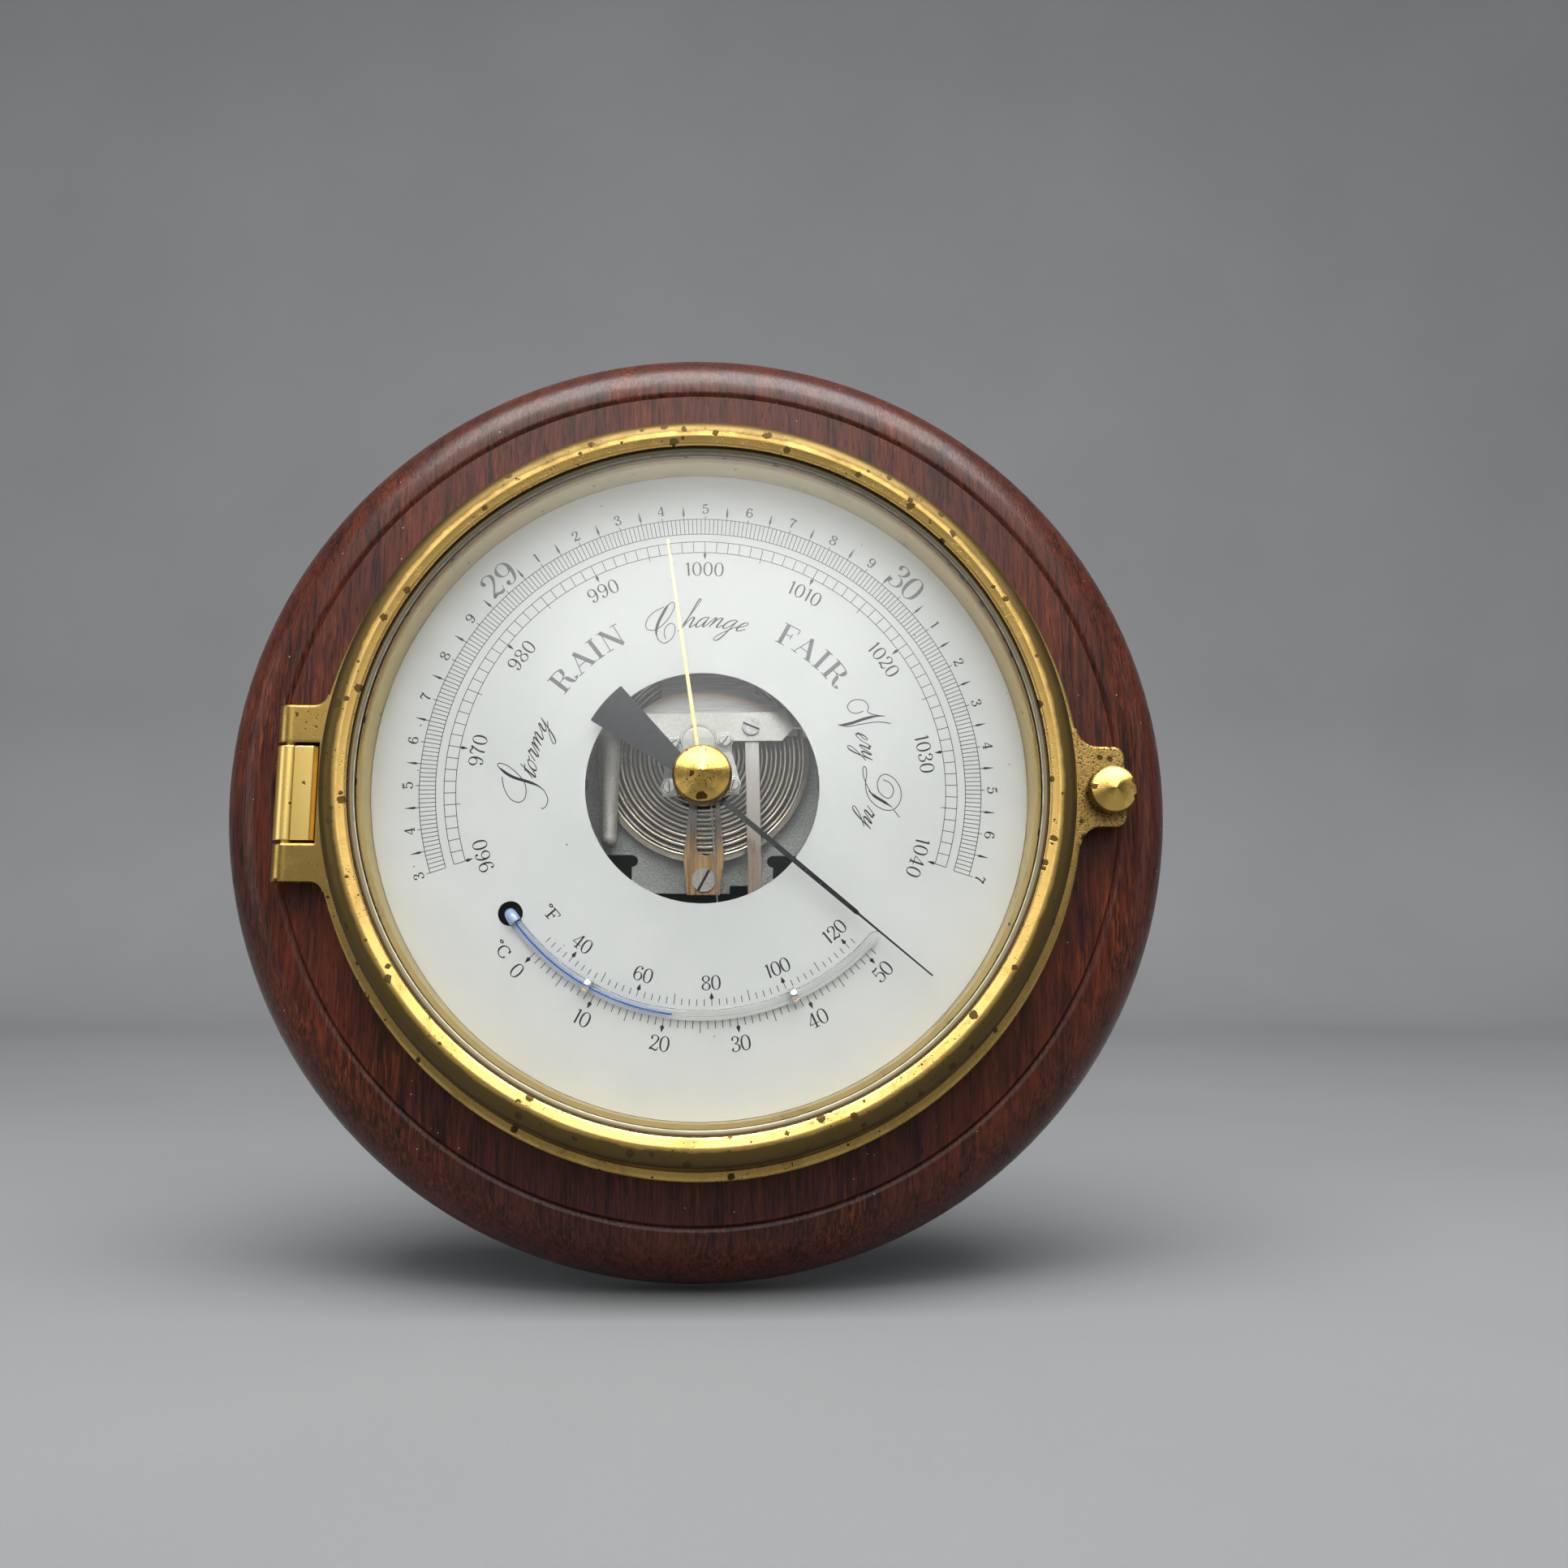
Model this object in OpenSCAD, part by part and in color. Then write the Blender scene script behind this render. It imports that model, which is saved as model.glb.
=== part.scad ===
// Wall barometer in a ship's porthole case: a turned wooden plinth, a hinged brass door with a
// setting hand, and an aneroid movement seen through the open centre of the dial.
// Each piece is drawn in face coordinates (x right, y up, z out of the wall) and stood up once.

/* [Wooden plinth] */
// Outer radius of the plinth
plinth_r = 110; // [104:1:118]
// Thickness from the wall to the flat ring of wood under the door
plinth_t = 20.4; // [19:0.2:23]
// Radius of the line where the flat ring steps down to the rim moulding
groove_r = 96.3; // [95.8:0.1:97.5]
// Depth of that step
groove_step = 0.9; // [0.4:0.1:1.6]
// Radius of the rounded rim moulding
rim_round = 12; // [9:0.5:13]
// Wood left behind the instrument's pocket
pocket_floor = 3; // [2.5:0.1:4]

/* [Dial and case] */
// Height of the dial's face above the wall
dial_h = 25; // [24.6:0.1:26]
// Radius of the dial
dial_r = 73.8; // [72:0.2:75]
// Thickness of the dial
dial_t = 0.6; // [0.4:0.1:1]
// Radius of the dial's open centre
dial_hole_r = 26.4; // [25:0.2:27]
// Sheet thickness of the instrument case
case_t = 0.8; // [0.6:0.1:1]
// Height of the case's rim above the dial
case_rim = 7.6; // [6.5:0.1:7.8]
// Radius of the case below the dial
cup_r = 70.4; // [68.5:0.2:71]

/* [Door] */
// Outer radius of the door casting
door_r = 86.5; // [86:0.1:88]
// Thickness of the door casting, its ears and its lug
door_t = 5.6; // [5:0.1:6]
// Gap between the closed door and the wood
door_gap = 0.5; // [0.35:0.05:0.8]
// Outer radius of the raised ring
bezel_r = 84.3; // [83.6:0.1:84.6]
// Height of the raised ring above the casting
bezel_h = 11.9; // [11:0.1:13]
// Radius of the raised ring's inner edge
bezel_in_r = 76.3; // [76:0.1:77]
// Thickness of the glass
glass_t = 2; // [1.5:0.1:2.2]
// Radius seen through the glass bead
sight_r = 74.9; // [74.4:0.1:75.4]

/* [Hinge] */
// Distance of the hinge pin from the middle of the dial
hinge_x = 92.3; // [92:0.1:93]
// Height of the hinge's middle above the dial's middle
hinge_z = -2.2; // [-4:0.1:4]
// Length of the fixed hinge block
block_l = 21.2; // [18:0.2:24]
// Gap between the block and each ear
ear_gap = 0.8; // [0.4:0.1:1.2]
// Length of each ear
ear_l = 8.4; // [7:0.2:10]
// Radius of the hinge pin
pin_r = 1.2; // [1:0.1:1.5]
// Radial clearance of the pin in the block
pin_play = 0.06; // [0.03:0.01:0.1]
// Width of the block from the pin to its straight edge
block_w = 6.4; // [6:0.1:6.5]

/* [Latch] */
// Distance of the latch knob from the middle of the dial
latch_x = 92.6; // [92:0.1:93]
// Height of the latch knob above the dial's middle
latch_z = -0.6; // [-2:0.1:2]
// Length of the lug that the knob sits on
lug_l = 18.4; // [17:0.2:21]
// Distance of the lug's straight edge from the middle of the dial
lug_x = 96.2; // [96:0.1:97.5]
// Radius of the latch knob
latch_r = 5.3; // [4.8:0.1:6]
// Radius of the latch screw's shank
latch_shank_r = 1.55; // [1.3:0.05:1.6]

/* [Setting knob and hands] */
// Radius of the setting knob
knob_r = 6.45; // [5.5:0.05:7]
// Height of the knob's knurled edge
knob_edge = 5; // [3.5:0.1:5.4]
// Height of the knob's cone
knob_cone = 4; // [2.5:0.1:4.4]
// Radius of the setting knob's shaft
set_shaft_r = 1.2; // [1:0.05:1.4]
// Length of the setting hand from the middle to its tip
set_hand_l = 56; // [50:0.5:60]
// Angle of the setting hand, clockwise from straight up
set_hand_a = -8.6; // [-90:0.1:90]
// Height of the indicator hand above the dial
hand_h = 3.4; // [3.3:0.1:4]
// Length of the indicator hand from the middle to its tip
hand_l = 66.2; // [60:0.2:68]
// Angle of the indicator hand, clockwise from straight up
hand_a = 129.8; // [100:0.1:135]
// Radius of the indicator hand's counterweight
tail_r = 28.9; // [26:0.1:31]
// Half the angle of that counterweight
tail_half_a = 10.3; // [8:0.1:12]

/* [Thermometer] */
// Radius of the curved thermometer tube about the middle of the dial
therm_r = 51; // [50:0.1:52]
// Radius of the tube
tube_r = 1.4; // [1.2:0.05:1.4]
// Angle of the tube's bulb end, clockwise from straight up
bulb_a = 235.6; // [232:0.1:238]
// Angle of the tube's other end
tube_end_a = 131.6; // [130:0.1:136]
// Angle at which the blue liquid ends
liquid_a = 187; // [180:0.1:220]
// Radius of the blue liquid's thread
liquid_r = 0.2; // [0.15:0.05:0.3]
// Radius of the hole that the bulb drops through
bulb_hole_r = 2.75; // [2.3:0.05:3]

/* [Movement] */
// Radius of the aneroid capsule
capsule_r = 25; // [23:0.2:26]
// Height of the capsule's middle above the dial's middle
capsule_z = 9.2; // [8:0.1:10]
// Thickness of the capsule
capsule_t = 3.8; // [3.2:0.1:4]
// Number of corrugations in the capsule
capsule_rings = 9; // [6:1:10]
// Thickness of the movement's base plate
base_t = 1; // [0.8:0.1:1.2]
// Height of the base plate's top above the wall
base_h = 9; // [8.6:0.1:9.2]
// Thickness of the lever arm
arm_t = 0.9; // [0.7:0.1:1]
// Height of the lever's own pivots above the dial's middle
arm_z = 15.6; // [15:0.1:16]
// Radius of the needle's arbor
arbor_r = 0.5; // [0.4:0.05:0.6]
// Play of the small pivots
pivot_play = 0.05; // [0.02:0.01:0.1]
// Radius of the drum that the chain winds on
drum_r = 1.1; // [0.9:0.05:1.2]

/* [Hidden] */

// Roundness of exact round pieces, and of small ones
$fn = 96;
eps = 0.01;

// Heights above the wall that several pieces share
wood_h = plinth_t;
door_back_h = wood_h + door_gap;
door_front_h = door_back_h + door_t;
crest_h = door_front_h + bezel_h;
hinge_h = door_back_h + door_t / 2;
knuckle_r = door_t / 2 + 0.12;
dial_back_h = dial_h - dial_t;
case_rim_h = dial_h + case_rim;
pocket_r = cup_r + 0.2;
cup_floor_h = pocket_floor + 0.2;
case_out_r = dial_r + 1.5;
case_wide_r = max(cup_r, case_out_r);
dial_play = 0.1;
shoulder_r = min(cup_r - case_t, dial_r - 3);
flange_w = 6.9;
flange_r = case_wide_r + flange_w;
flange_h = wood_h + 0.05;
flange_t = 1;

// The glass, its ledge in the raised ring and the bead over it
ledge_h = case_rim_h + 0.4;
ledge_t = 1.1;
glass_h = ledge_h + ledge_t;
glass_top_h = glass_h + glass_t;
glass_r = bezel_in_r - 0.1;
bead_t = 0.7;
bush_r = 2.6;
glass_hole_r = bush_r + 0.1;

// The setting knob's stack on the glass
bush_flange_r = 4.2;
bush_flange_t = 0.5;
knob_h = glass_top_h + bush_flange_t + 0.15;
set_hand_t = 0.35;
washer_t = 0.4;
washer_h = glass_h - bush_flange_t - 0.15 - washer_t;
set_hand_base_h = washer_h - set_hand_t;

// The hands
hand_t = 0.3;
needle_h = dial_h + hand_h;
hub_r = 2.3;
hub_t = 1.6;

// The movement's levels
capsule_h = base_h + 0.6;
capsule_top_h = capsule_h + capsule_t;
spring_t = 0.7;
spring_h = capsule_top_h + 1.2;
arm_h = spring_h + spring_t + 1.1;
strip_t = 0.6;
strip_h = arm_h - strip_t;
bridge_t = 0.8;
bridge_h = arm_h + arm_t + 0.7;
bearing_t = 1.4;
bearing_h = bridge_h + bridge_t + 2;
drum_t = 0.9;
drum_h = bridge_h + bridge_t + 0.5;
fork_t = 0.7;
fork_h = capsule_top_h + 0.8;
post_r = 2.6;
post_x = -21.6;
crank_z = -29.6;
crank_h = 12.2;

// Screw sizes of the small movement screws
screw_core_r = 0.8;
bearing_posts = [[-7, 10.5], [5, 11.2], [6.8, 1], [-7.6, 0.3]];
clip_angles = [209, 156.3];
pillar_places = [[-28, -10], [28, -10], [-22, 40], [22, 40]];
post_places = [[-29, 3], [29, 3], [0, 47]];

// Points and small shapes

function polar(r, a) = [r * sin(a), r * cos(a)];
function arc_points(c, r, a0, a1, n) = [for (i = [0:n]) c + r * [cos(a0 + (a1 - a0) * i / n), sin(a0 + (a1 - a0) * i / n)]];
function knurl_points(r, depth, n) = [for (i = [0:2 * n - 1]) polar(r - depth * (i % 2), 180 * i / n)];

// Stands a piece drawn on the face up against the wall
module face() {
    rotate([90, 0, 0]) children();
}

module lift(h) {
    translate([0, 0, h]) children();
}

module disc(r, h0, h1) {
    lift(h0) cylinder(r = r, h = h1 - h0);
}

module ring(r_out, r_in, h0, h1) {
    difference() {
        disc(r_out, h0, h1);
        disc(r_in, h0 - 1, h1 + 1);
    }
}

module plate(points, h, t) {
    lift(h) linear_extrude(height = t) polygon(points);
}

// A slotted screw head with its shank going down from the head's seat
module slotted_screw(head_r, head_t, shank_r, shank_l, slot_a) {
    difference() {
        cylinder(r = head_r, h = head_t);
        rotate([0, 0, slot_a]) translate([-head_r - 1, -head_r * 0.11, head_t * 0.55])
            cube([2 * head_r + 2, head_r * 0.22, head_t]);
    }
    translate([0, 0, -shank_l]) cylinder(r = shank_r, h = shank_l + eps);
}

// A countersunk wood screw drawn from its head at z = 0 down to its tip
module wood_screw(head_r, shank_r, length, slot_a) {
    head_t = head_r - shank_r;
    difference() {
        union() {
            translate([0, 0, -head_t]) cylinder(r1 = shank_r, r2 = head_r, h = head_t);
            translate([0, 0, -length]) cylinder(r = shank_r, h = length - head_t + eps);
        }
        rotate([0, 0, slot_a]) translate([-head_r - 1, -0.35, -0.6]) cube([2 * head_r + 2, 0.7, 2]);
    }
}

module wood_screw_hole(head_r, shank_r, length) {
    head_t = head_r - shank_r;
    translate([0, 0, -head_t]) cylinder(r1 = shank_r, r2 = head_r, h = head_t);
    translate([0, 0, -length]) cylinder(r = shank_r, h = length);
    translate([0, 0, -eps]) cylinder(r = head_r, h = 2);
}

// The web that blends an edge at height y into a round casting of radius r, on the right side
module fillet_patch(y, r, f) {
    s = sign(y);
    c = [sqrt((r + f) * (r + f) - (abs(y) + f) * (abs(y) + f)), y + s * f];
    polygon(concat([[c.x, y - s]], arc_points(c, f, -90 * s, atan2(-c.y, -c.x), 8),
        [c * (r - 0.4) / (r + f), [sqrt(r * r - y * y) - 2, y - 0.8 * s]]));
}

// Wooden plinth and what hangs it

rim_c = [plinth_r - rim_round, plinth_t - groove_step - rim_round + 0.3];
hanger_w = 16;
hanger_l = 32;
hanger_t = 1.6;
hanger_z = pocket_r + 13.4;
hanger_screw_z = [hanger_z - 10.5, hanger_z + 11.5];
hanger_screw_l = 11;
keyhole_r = 4;
keyhole_l = 8;
keyhole_slot_w = 4;
keyhole_z = hanger_z - 3;
relief_w = 10;
relief_l = keyhole_l + 8;
relief_d = 7;
case_screw_a = [45, 135, 225, 315];
case_screw_r = flange_r - 2.7;
case_screw_l = 9.5;
block_screw_z = [hinge_z - 6, hinge_z + 6];
block_screw_x = -(hinge_x - 3.2);

module hanger_outline(grow) {
    for (s = [-1, 1]) translate([0, hanger_z + s * (hanger_l - hanger_w) / 2])
        circle(r = hanger_w / 2 + grow);
    translate([-hanger_w / 2 - grow, hanger_z - (hanger_l - hanger_w) / 2])
        square([hanger_w + 2 * grow, hanger_l - hanger_w]);
}

module keyhole() {
    translate([0, keyhole_z]) circle(r = keyhole_r);
    translate([0, keyhole_z + keyhole_l]) circle(r = keyhole_slot_w / 2);
    translate([-keyhole_slot_w / 2, keyhole_z]) square([keyhole_slot_w, keyhole_l]);
}

module wood_plinth() {
    color("#4a1c12") face() difference() {
        rotate_extrude() polygon(concat(
            [[0, 0], [plinth_r - 3, 0]],
            arc_points([plinth_r - 3.5, 2.5], 2.5, -80, -10, 3),
            arc_points(rim_c, rim_round, -8, 90, 10),
            [[groove_r + 0.9, plinth_t - groove_step], [groove_r + 0.3, plinth_t - groove_step - 0.3],
             [groove_r, plinth_t - groove_step], [groove_r, plinth_t - 0.3], [groove_r - 0.3, plinth_t],
             [0, plinth_t]]));
        disc(pocket_r, pocket_floor, plinth_t + 1);
        lift(-1) linear_extrude(height = hanger_t + 1.05) hanger_outline(0.15);
        translate([-relief_w / 2, keyhole_z - relief_w / 2, -1]) cube([relief_w, relief_l, relief_d + 1]);
        for (z = hanger_screw_z) translate([0, z, 0]) cylinder(r = 1.1, h = hanger_screw_l + 1);
        for (z = block_screw_z) translate([block_screw_x, z, 0]) mirror([0, 0, 1])
            wood_screw_hole(3.4, 1.6, plinth_t + 1);
        for (a = case_screw_a) translate(concat(polar(case_screw_r, a), plinth_t - case_screw_l + 0.5))
            cylinder(r = 1.05, h = case_screw_l + 0.5);
        translate([latch_x, latch_z, insert_h]) cylinder(r = insert_r, h = plinth_t);
        translate([0, capsule_z, -1]) cylinder(r = 5, h = pocket_floor + 2);
    }
}

module hanger_plate() {
    color("#b9974a") face() difference() {
        linear_extrude(height = hanger_t) hanger_outline(0);
        lift(-1) linear_extrude(height = hanger_t + 2) keyhole();
        for (z = hanger_screw_z) translate([0, z, 0]) mirror([0, 0, 1])
            wood_screw_hole(2.2, 1.2, hanger_t + 1);
    }
}

module hanger_screws() {
    color("#a08a55") face() for (z = hanger_screw_z)
        translate([0, z, 0.1]) mirror([0, 0, 1]) wood_screw(2.1, 1.05, hanger_screw_l, z);
}

// The block's two screws come up through the plinth from behind
module block_screws() {
    color("#b9974a") face() for (z = block_screw_z)
        translate([block_screw_x, z, 0.2]) mirror([0, 0, 1]) wood_screw(3.2, 1.5, plinth_t + 2, 15 * z);
}

// Instrument case, dial and thermometer

module instrument_case() {
    color("#b59a52") face() difference() {
        rotate_extrude() union() {
            polygon([[0, cup_floor_h], [cup_r - 1, cup_floor_h], [cup_r, cup_floor_h + 1],
                [cup_r, dial_back_h], [cup_r - case_t, dial_back_h],
                [cup_r - case_t, cup_floor_h + case_t], [0, cup_floor_h + case_t]]);
            translate([cup_r - case_t, flange_h]) square([flange_r - cup_r + case_t, flange_t]);
            translate([shoulder_r, dial_back_h - case_t]) square([case_wide_r - shoulder_r, case_t]);
            translate([dial_r + dial_play, dial_back_h - case_t])
                square([case_out_r - dial_r - dial_play, case_rim_h - dial_back_h + case_t]);
        }
        for (a = case_screw_a) translate(concat(polar(case_screw_r, a), flange_h + flange_t))
            wood_screw_hole(1.9, 1.1, 3);
        for (p = pillar_places) translate([p.x, p.y, 0]) cylinder(r = screw_core_r + 0.1, h = 10);
        translate([0, capsule_z, 0]) cylinder(r = 4, h = 10);
    }
}

module case_screws() {
    color("#b9974a") face() for (a = case_screw_a)
        translate(concat(polar(case_screw_r, a), flange_h + flange_t)) wood_screw(1.8, 1, case_screw_l, a);
}

module dial() {
    color("#eceef0") face() difference() {
        disc(dial_r, dial_back_h, dial_h);
        disc(dial_hole_r, dial_back_h - 1, dial_h + 1);
        translate(concat(polar(therm_r, bulb_a), 0)) disc(bulb_hole_r, dial_back_h - 1, dial_h + 1);
    }
}

// Posts riveted to the back of the dial that stand on the base plate
module dial_posts() {
    color("#9a9c9c") face() for (p = post_places) translate([p.x, p.y, 0])
        disc(2, base_h, dial_back_h);
}

tube_h = dial_h + tube_r + 0.05;
bulb_r = 2.2;
bend_r = 2.4;
bend_a = bulb_a - bend_r / therm_r * 180 / PI;
drop_l = 3;

// A bent rod about the dial's middle, from angle a0 down to a1, both clockwise from straight up
module bent_rod(r, a0, a1, h) {
    lift(h) rotate([0, 0, 90 - a0]) rotate_extrude(angle = a0 - a1) translate([therm_r, 0]) circle(r = r);
}

// The quarter bend at the bulb's end and the straight length that drops through the dial
module bent_end(r, length) {
    translate(concat(polar(therm_r, bend_a), tube_h - bend_r)) rotate([0, 0, -bend_a]) {
        rotate([90, 0, 0]) rotate_extrude(angle = 90) translate([bend_r, 0]) circle(r = r);
        translate([bend_r, 0, -length]) cylinder(r = r, h = length);
    }
}

module thermometer_tube() {
    color("#e8f0f4", 0.5) face() difference() {
        bent_rod(tube_r, bend_a, tube_end_a, tube_h);
        bent_rod(liquid_r + 0.05, bend_a + 1, liquid_a - 0.5, tube_h);
    }
}

module thermometer_bulb() {
    color("#3f78bd") face() {
        bent_end(tube_r, drop_l);
        translate(concat(polar(therm_r, bulb_a), tube_h - bend_r - drop_l - bulb_r / 2)) sphere(r = bulb_r);
    }
}

module thermometer_liquid() {
    color("#2f6fc4") face() bent_rod(liquid_r, bend_a, liquid_a, tube_h);
}

clip_w = 1.5;
clip_t = 0.35;

module tube_clips() {
    color("#c9ccd0") face() for (a = clip_angles) rotate([0, 0, -a]) translate([0, therm_r, 0]) {
        r_in = tube_r + 0.1;
        r_out = r_in + clip_t;
        translate([clip_w / 2, 0, tube_h]) rotate([90, 0, -90]) linear_extrude(height = clip_w)
            polygon(concat([[r_out, dial_h - tube_h]], arc_points([0, 0], r_out, 0, 180, 16),
                [[-r_out, dial_h - tube_h], [-r_in, dial_h - tube_h]], arc_points([0, 0], r_in, 180, 0, 16),
                [[r_in, dial_h - tube_h]]));
    }
}

// The fixed half of the hinge and of the latch

block_top_h = door_front_h - 0.3;
block_bevel = 0.9;

module hinge_block() {
    color("#d3a83c") face() difference() {
        union() {
            translate([-hinge_x, hinge_z - block_l / 2, hinge_h]) rotate([-90, 0, 0])
                cylinder(r = knuckle_r, h = block_l);
            translate([-hinge_x, hinge_z + block_l / 2, 0]) rotate([90, 0, 0])
                linear_extrude(height = block_l) polygon([[0, wood_h], [block_w, wood_h],
                    [block_w, block_top_h - block_bevel], [block_w - block_bevel, block_top_h], [0, block_top_h]]);
        }
        translate([-hinge_x, hinge_z - block_l / 2 - 1, hinge_h]) rotate([-90, 0, 0])
            cylinder(r = pin_r + pin_play, h = block_l + 2);
        for (z = block_screw_z) translate([block_screw_x, z, wood_h - 1]) cylinder(r = 1.5, h = 3.2);
        translate([-hinge_x + 1.4, hinge_z - block_l / 2 - 1, door_front_h - 0.45])
            cube([0.35, block_l + 2, 1]);
    }
}

pin_l = block_l + 2 * ear_gap + 2 * ear_l - 1.6;

module hinge_pin() {
    color("#c8ab5e") face() translate([-hinge_x, hinge_z - pin_l / 2, hinge_h]) rotate([-90, 0, 0])
        cylinder(r = pin_r, h = pin_l);
}

insert_r = 3.4;
insert_h = 11;
latch_play = 0.45;
shank_end_h = 15;

module latch_insert() {
    color("#c79c3e") face() translate([latch_x, latch_z, 0]) difference() {
        disc(insert_r, insert_h, wood_h);
        disc(latch_shank_r + latch_play, insert_h + 1.5, wood_h + 1);
    }
}

// The movement's frame

tongue_w = 33;
tongue_z = -22.6;
shoulder_z = -14.4;
slot_r = 1.4;
notch_x = 8.5;
notch_w = 4.2;
notch_d = 1.9;
plate_w = 64;
plate_top = 51;

module base_plate() {
    color("#a7abab") face() difference() {
        lift(base_h - base_t) linear_extrude(height = base_t) difference() {
            polygon([
                [-tongue_w / 2, tongue_z], [tongue_w / 2, tongue_z], [tongue_w / 2, shoulder_z],
                [plate_w / 2, shoulder_z], [plate_w / 2, plate_top - 14], [plate_w / 2 - 18, plate_top],
                [18 - plate_w / 2, plate_top], [-plate_w / 2, plate_top - 14],
                [-plate_w / 2, shoulder_z], [-tongue_w / 2, shoulder_z]]);
            for (s = [-1, 1]) {
                translate([s * tongue_w / 2, shoulder_z - 0.6]) circle(r = slot_r);
                translate([s * (tongue_w / 2 + 4) - 4, shoulder_z - 0.6 - slot_r]) square([8, 2 * slot_r]);
            }
            translate([notch_x - notch_w / 2, tongue_z - 1]) square([notch_w, notch_d + 1]);
        }
        for (p = pillar_places) translate([p.x, p.y, 0]) cylinder(r = screw_core_r + 0.1, h = 12);
        translate([0, capsule_z, 0]) cylinder(r = 2.1, h = 12);
        translate([fork_screw_x, fork_screw_z, 0]) cylinder(r = screw_core_r + 0.05, h = 12);
    }
}

module plate_pillars() {
    color("#b0a070") face() for (p = pillar_places) translate([p.x, p.y, 0])
        ring(2.4, screw_core_r + 0.1, cup_floor_h + case_t, base_h - base_t);
}

module plate_screws() {
    color("#9c9ea0") face() for (p = pillar_places) translate([p.x, p.y, base_h])
        slotted_screw(1.7, 1, screw_core_r, base_h - cup_floor_h, p.x);
}

// Two corrugated discs soldered at the rim
module capsule() {
    mid_h = capsule_h + capsule_t / 2;
    wave = 0.35;
    steps = capsule_rings * 6;
    top = [for (i = [0:steps]) [4 + (capsule_r - 5.4) * i / steps,
        capsule_t / 2 - wave - 0.5 * i / steps + wave * cos(360 * capsule_rings * i / steps)]];
    low = [for (i = [0:steps]) [top[steps - i].x, -top[steps - i].y]];
    color("#d9cf9e") face() translate([0, capsule_z, mid_h]) rotate_extrude() polygon(concat(
        [[0, -capsule_t / 2 + 0.1], [0, capsule_t / 2 - 0.1], [4, capsule_t / 2 - 0.1]], top,
        [[capsule_r - 1.2, 0.5], [capsule_r, 0.4], [capsule_r, -0.4], [capsule_r - 1.2, -0.5]], low,
        [[4, -capsule_t / 2 + 0.1]]));
}

stem_r = 1.6;
stem_tip_r = 0.7;

module capsule_stem() {
    color("#c8b070") face() translate([0, capsule_z, 0]) {
        disc(stem_r, capsule_top_h - 0.1, spring_h);
        disc(stem_tip_r, spring_h - eps, spring_h + spring_t + 0.35);
    }
}

spring_left = -10;
spring_w = 22;
spring_tongue_w = 8;
spring_bend_z = 41;
spring_foot_h = base_h;
spring_foot_l = 5;
spring_bend_r = (spring_h + spring_t - spring_foot_h) / 2;
spring_arc_c = [2.5, 0];
spring_arc_r = 25.9;
spring_web_z = 20;

// A leaf bent over like a hairpin: its foot lies on the base plate and its tongue holds the capsule
module main_spring() {
    mid_h = spring_foot_h + spring_bend_r;
    color("#8f9296") face() {
        difference() {
            union() {
                lift(spring_h) linear_extrude(height = spring_t) union() {
                    intersection() {
                        translate(spring_arc_c) circle(r = spring_arc_r);
                        translate([-17, 14]) square([39, 30]);
                    }
                    translate([-spring_tongue_w / 2, capsule_z - spring_tongue_w / 2])
                        square([spring_tongue_w, spring_tongue_w + 2]);
                    translate([spring_left, spring_web_z]) square([spring_w, spring_bend_z - spring_web_z]);
                }
                translate([spring_left, spring_bend_z, mid_h]) rotate([90, 0, 90]) difference() {
                    cylinder(r = spring_bend_r, h = spring_w);
                    translate([0, 0, -1]) cylinder(r = spring_bend_r - spring_t, h = spring_w + 2);
                    translate([-20, -10, -1]) cube([20, 20, spring_w + 2]);
                }
                lift(spring_foot_h) translate([spring_left, spring_bend_z - spring_foot_l])
                    cube([spring_w, spring_foot_l, spring_t]);
            }
            translate([0, capsule_z, 0]) cylinder(r = stem_tip_r + 0.05, h = 30);
        }
    }
}

foot_r = 1.75;
foot_z = -10.5;
arch_c = [1.5, 3];
arch_r = 27.2;
arch_a = [30, 146];
arch_h = spring_h + spring_t + 0.5;
arch_t = 2.4;

// A cast frame: the left limb stands on the base plate, and an arch from it over the leaf spring
// reaches the lever's other bearing
module cast_frame() {
    limb_h = arm_h - post_r - 0.4;
    color("#8d8f8e") face() difference() {
        union() {
            translate([post_x, foot_z, limb_h]) rotate([-90, 0, 0])
                cylinder(r1 = foot_r, r2 = post_r, h = arm_z - foot_z + 4);
            translate([post_x, foot_z + 0.4, base_h]) cylinder(r = foot_r - 0.2, h = limb_h - base_h);
            translate([post_x, foot_z, limb_h]) sphere(r = foot_r + 0.12);
            translate([post_x - 3.2, arm_z - 2.4, limb_h]) cube([2.2, 4.8, arch_h + arch_t - limb_h]);
            translate([arm_tip + 2.2, arm_z - 2.4, arch_h]) cube([2.2, 4.8, arch_t]);
            plate(concat(arc_points(arch_c, arch_r, arch_a[0], arch_a[1], 12),
                arc_points(arch_c, arch_r + 3.4, arch_a[1], arch_a[0], 12)), arch_h, arch_t);
            translate([arm_tip + 2.2, arm_z, arch_h]) cube([4, 4.4, arch_t]);
            translate([post_x - 4, arm_z, arch_h]) cube([3, 6, arch_t]);
        }
        translate([post_x - 5, arm_z, arm_h + arm_t / 2]) rotate([0, 90, 0])
            cylinder(r = pivot_r + pivot_play, h = arm_tip - post_x + 10);
        translate([0, capsule_z, capsule_h - 0.5]) cylinder(r = capsule_r + 0.3, h = capsule_t + 1);
    }
}

fork_screw_x = 0.35;
fork_screw_z = -20.2;
fork_top_z = 2.2;

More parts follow.
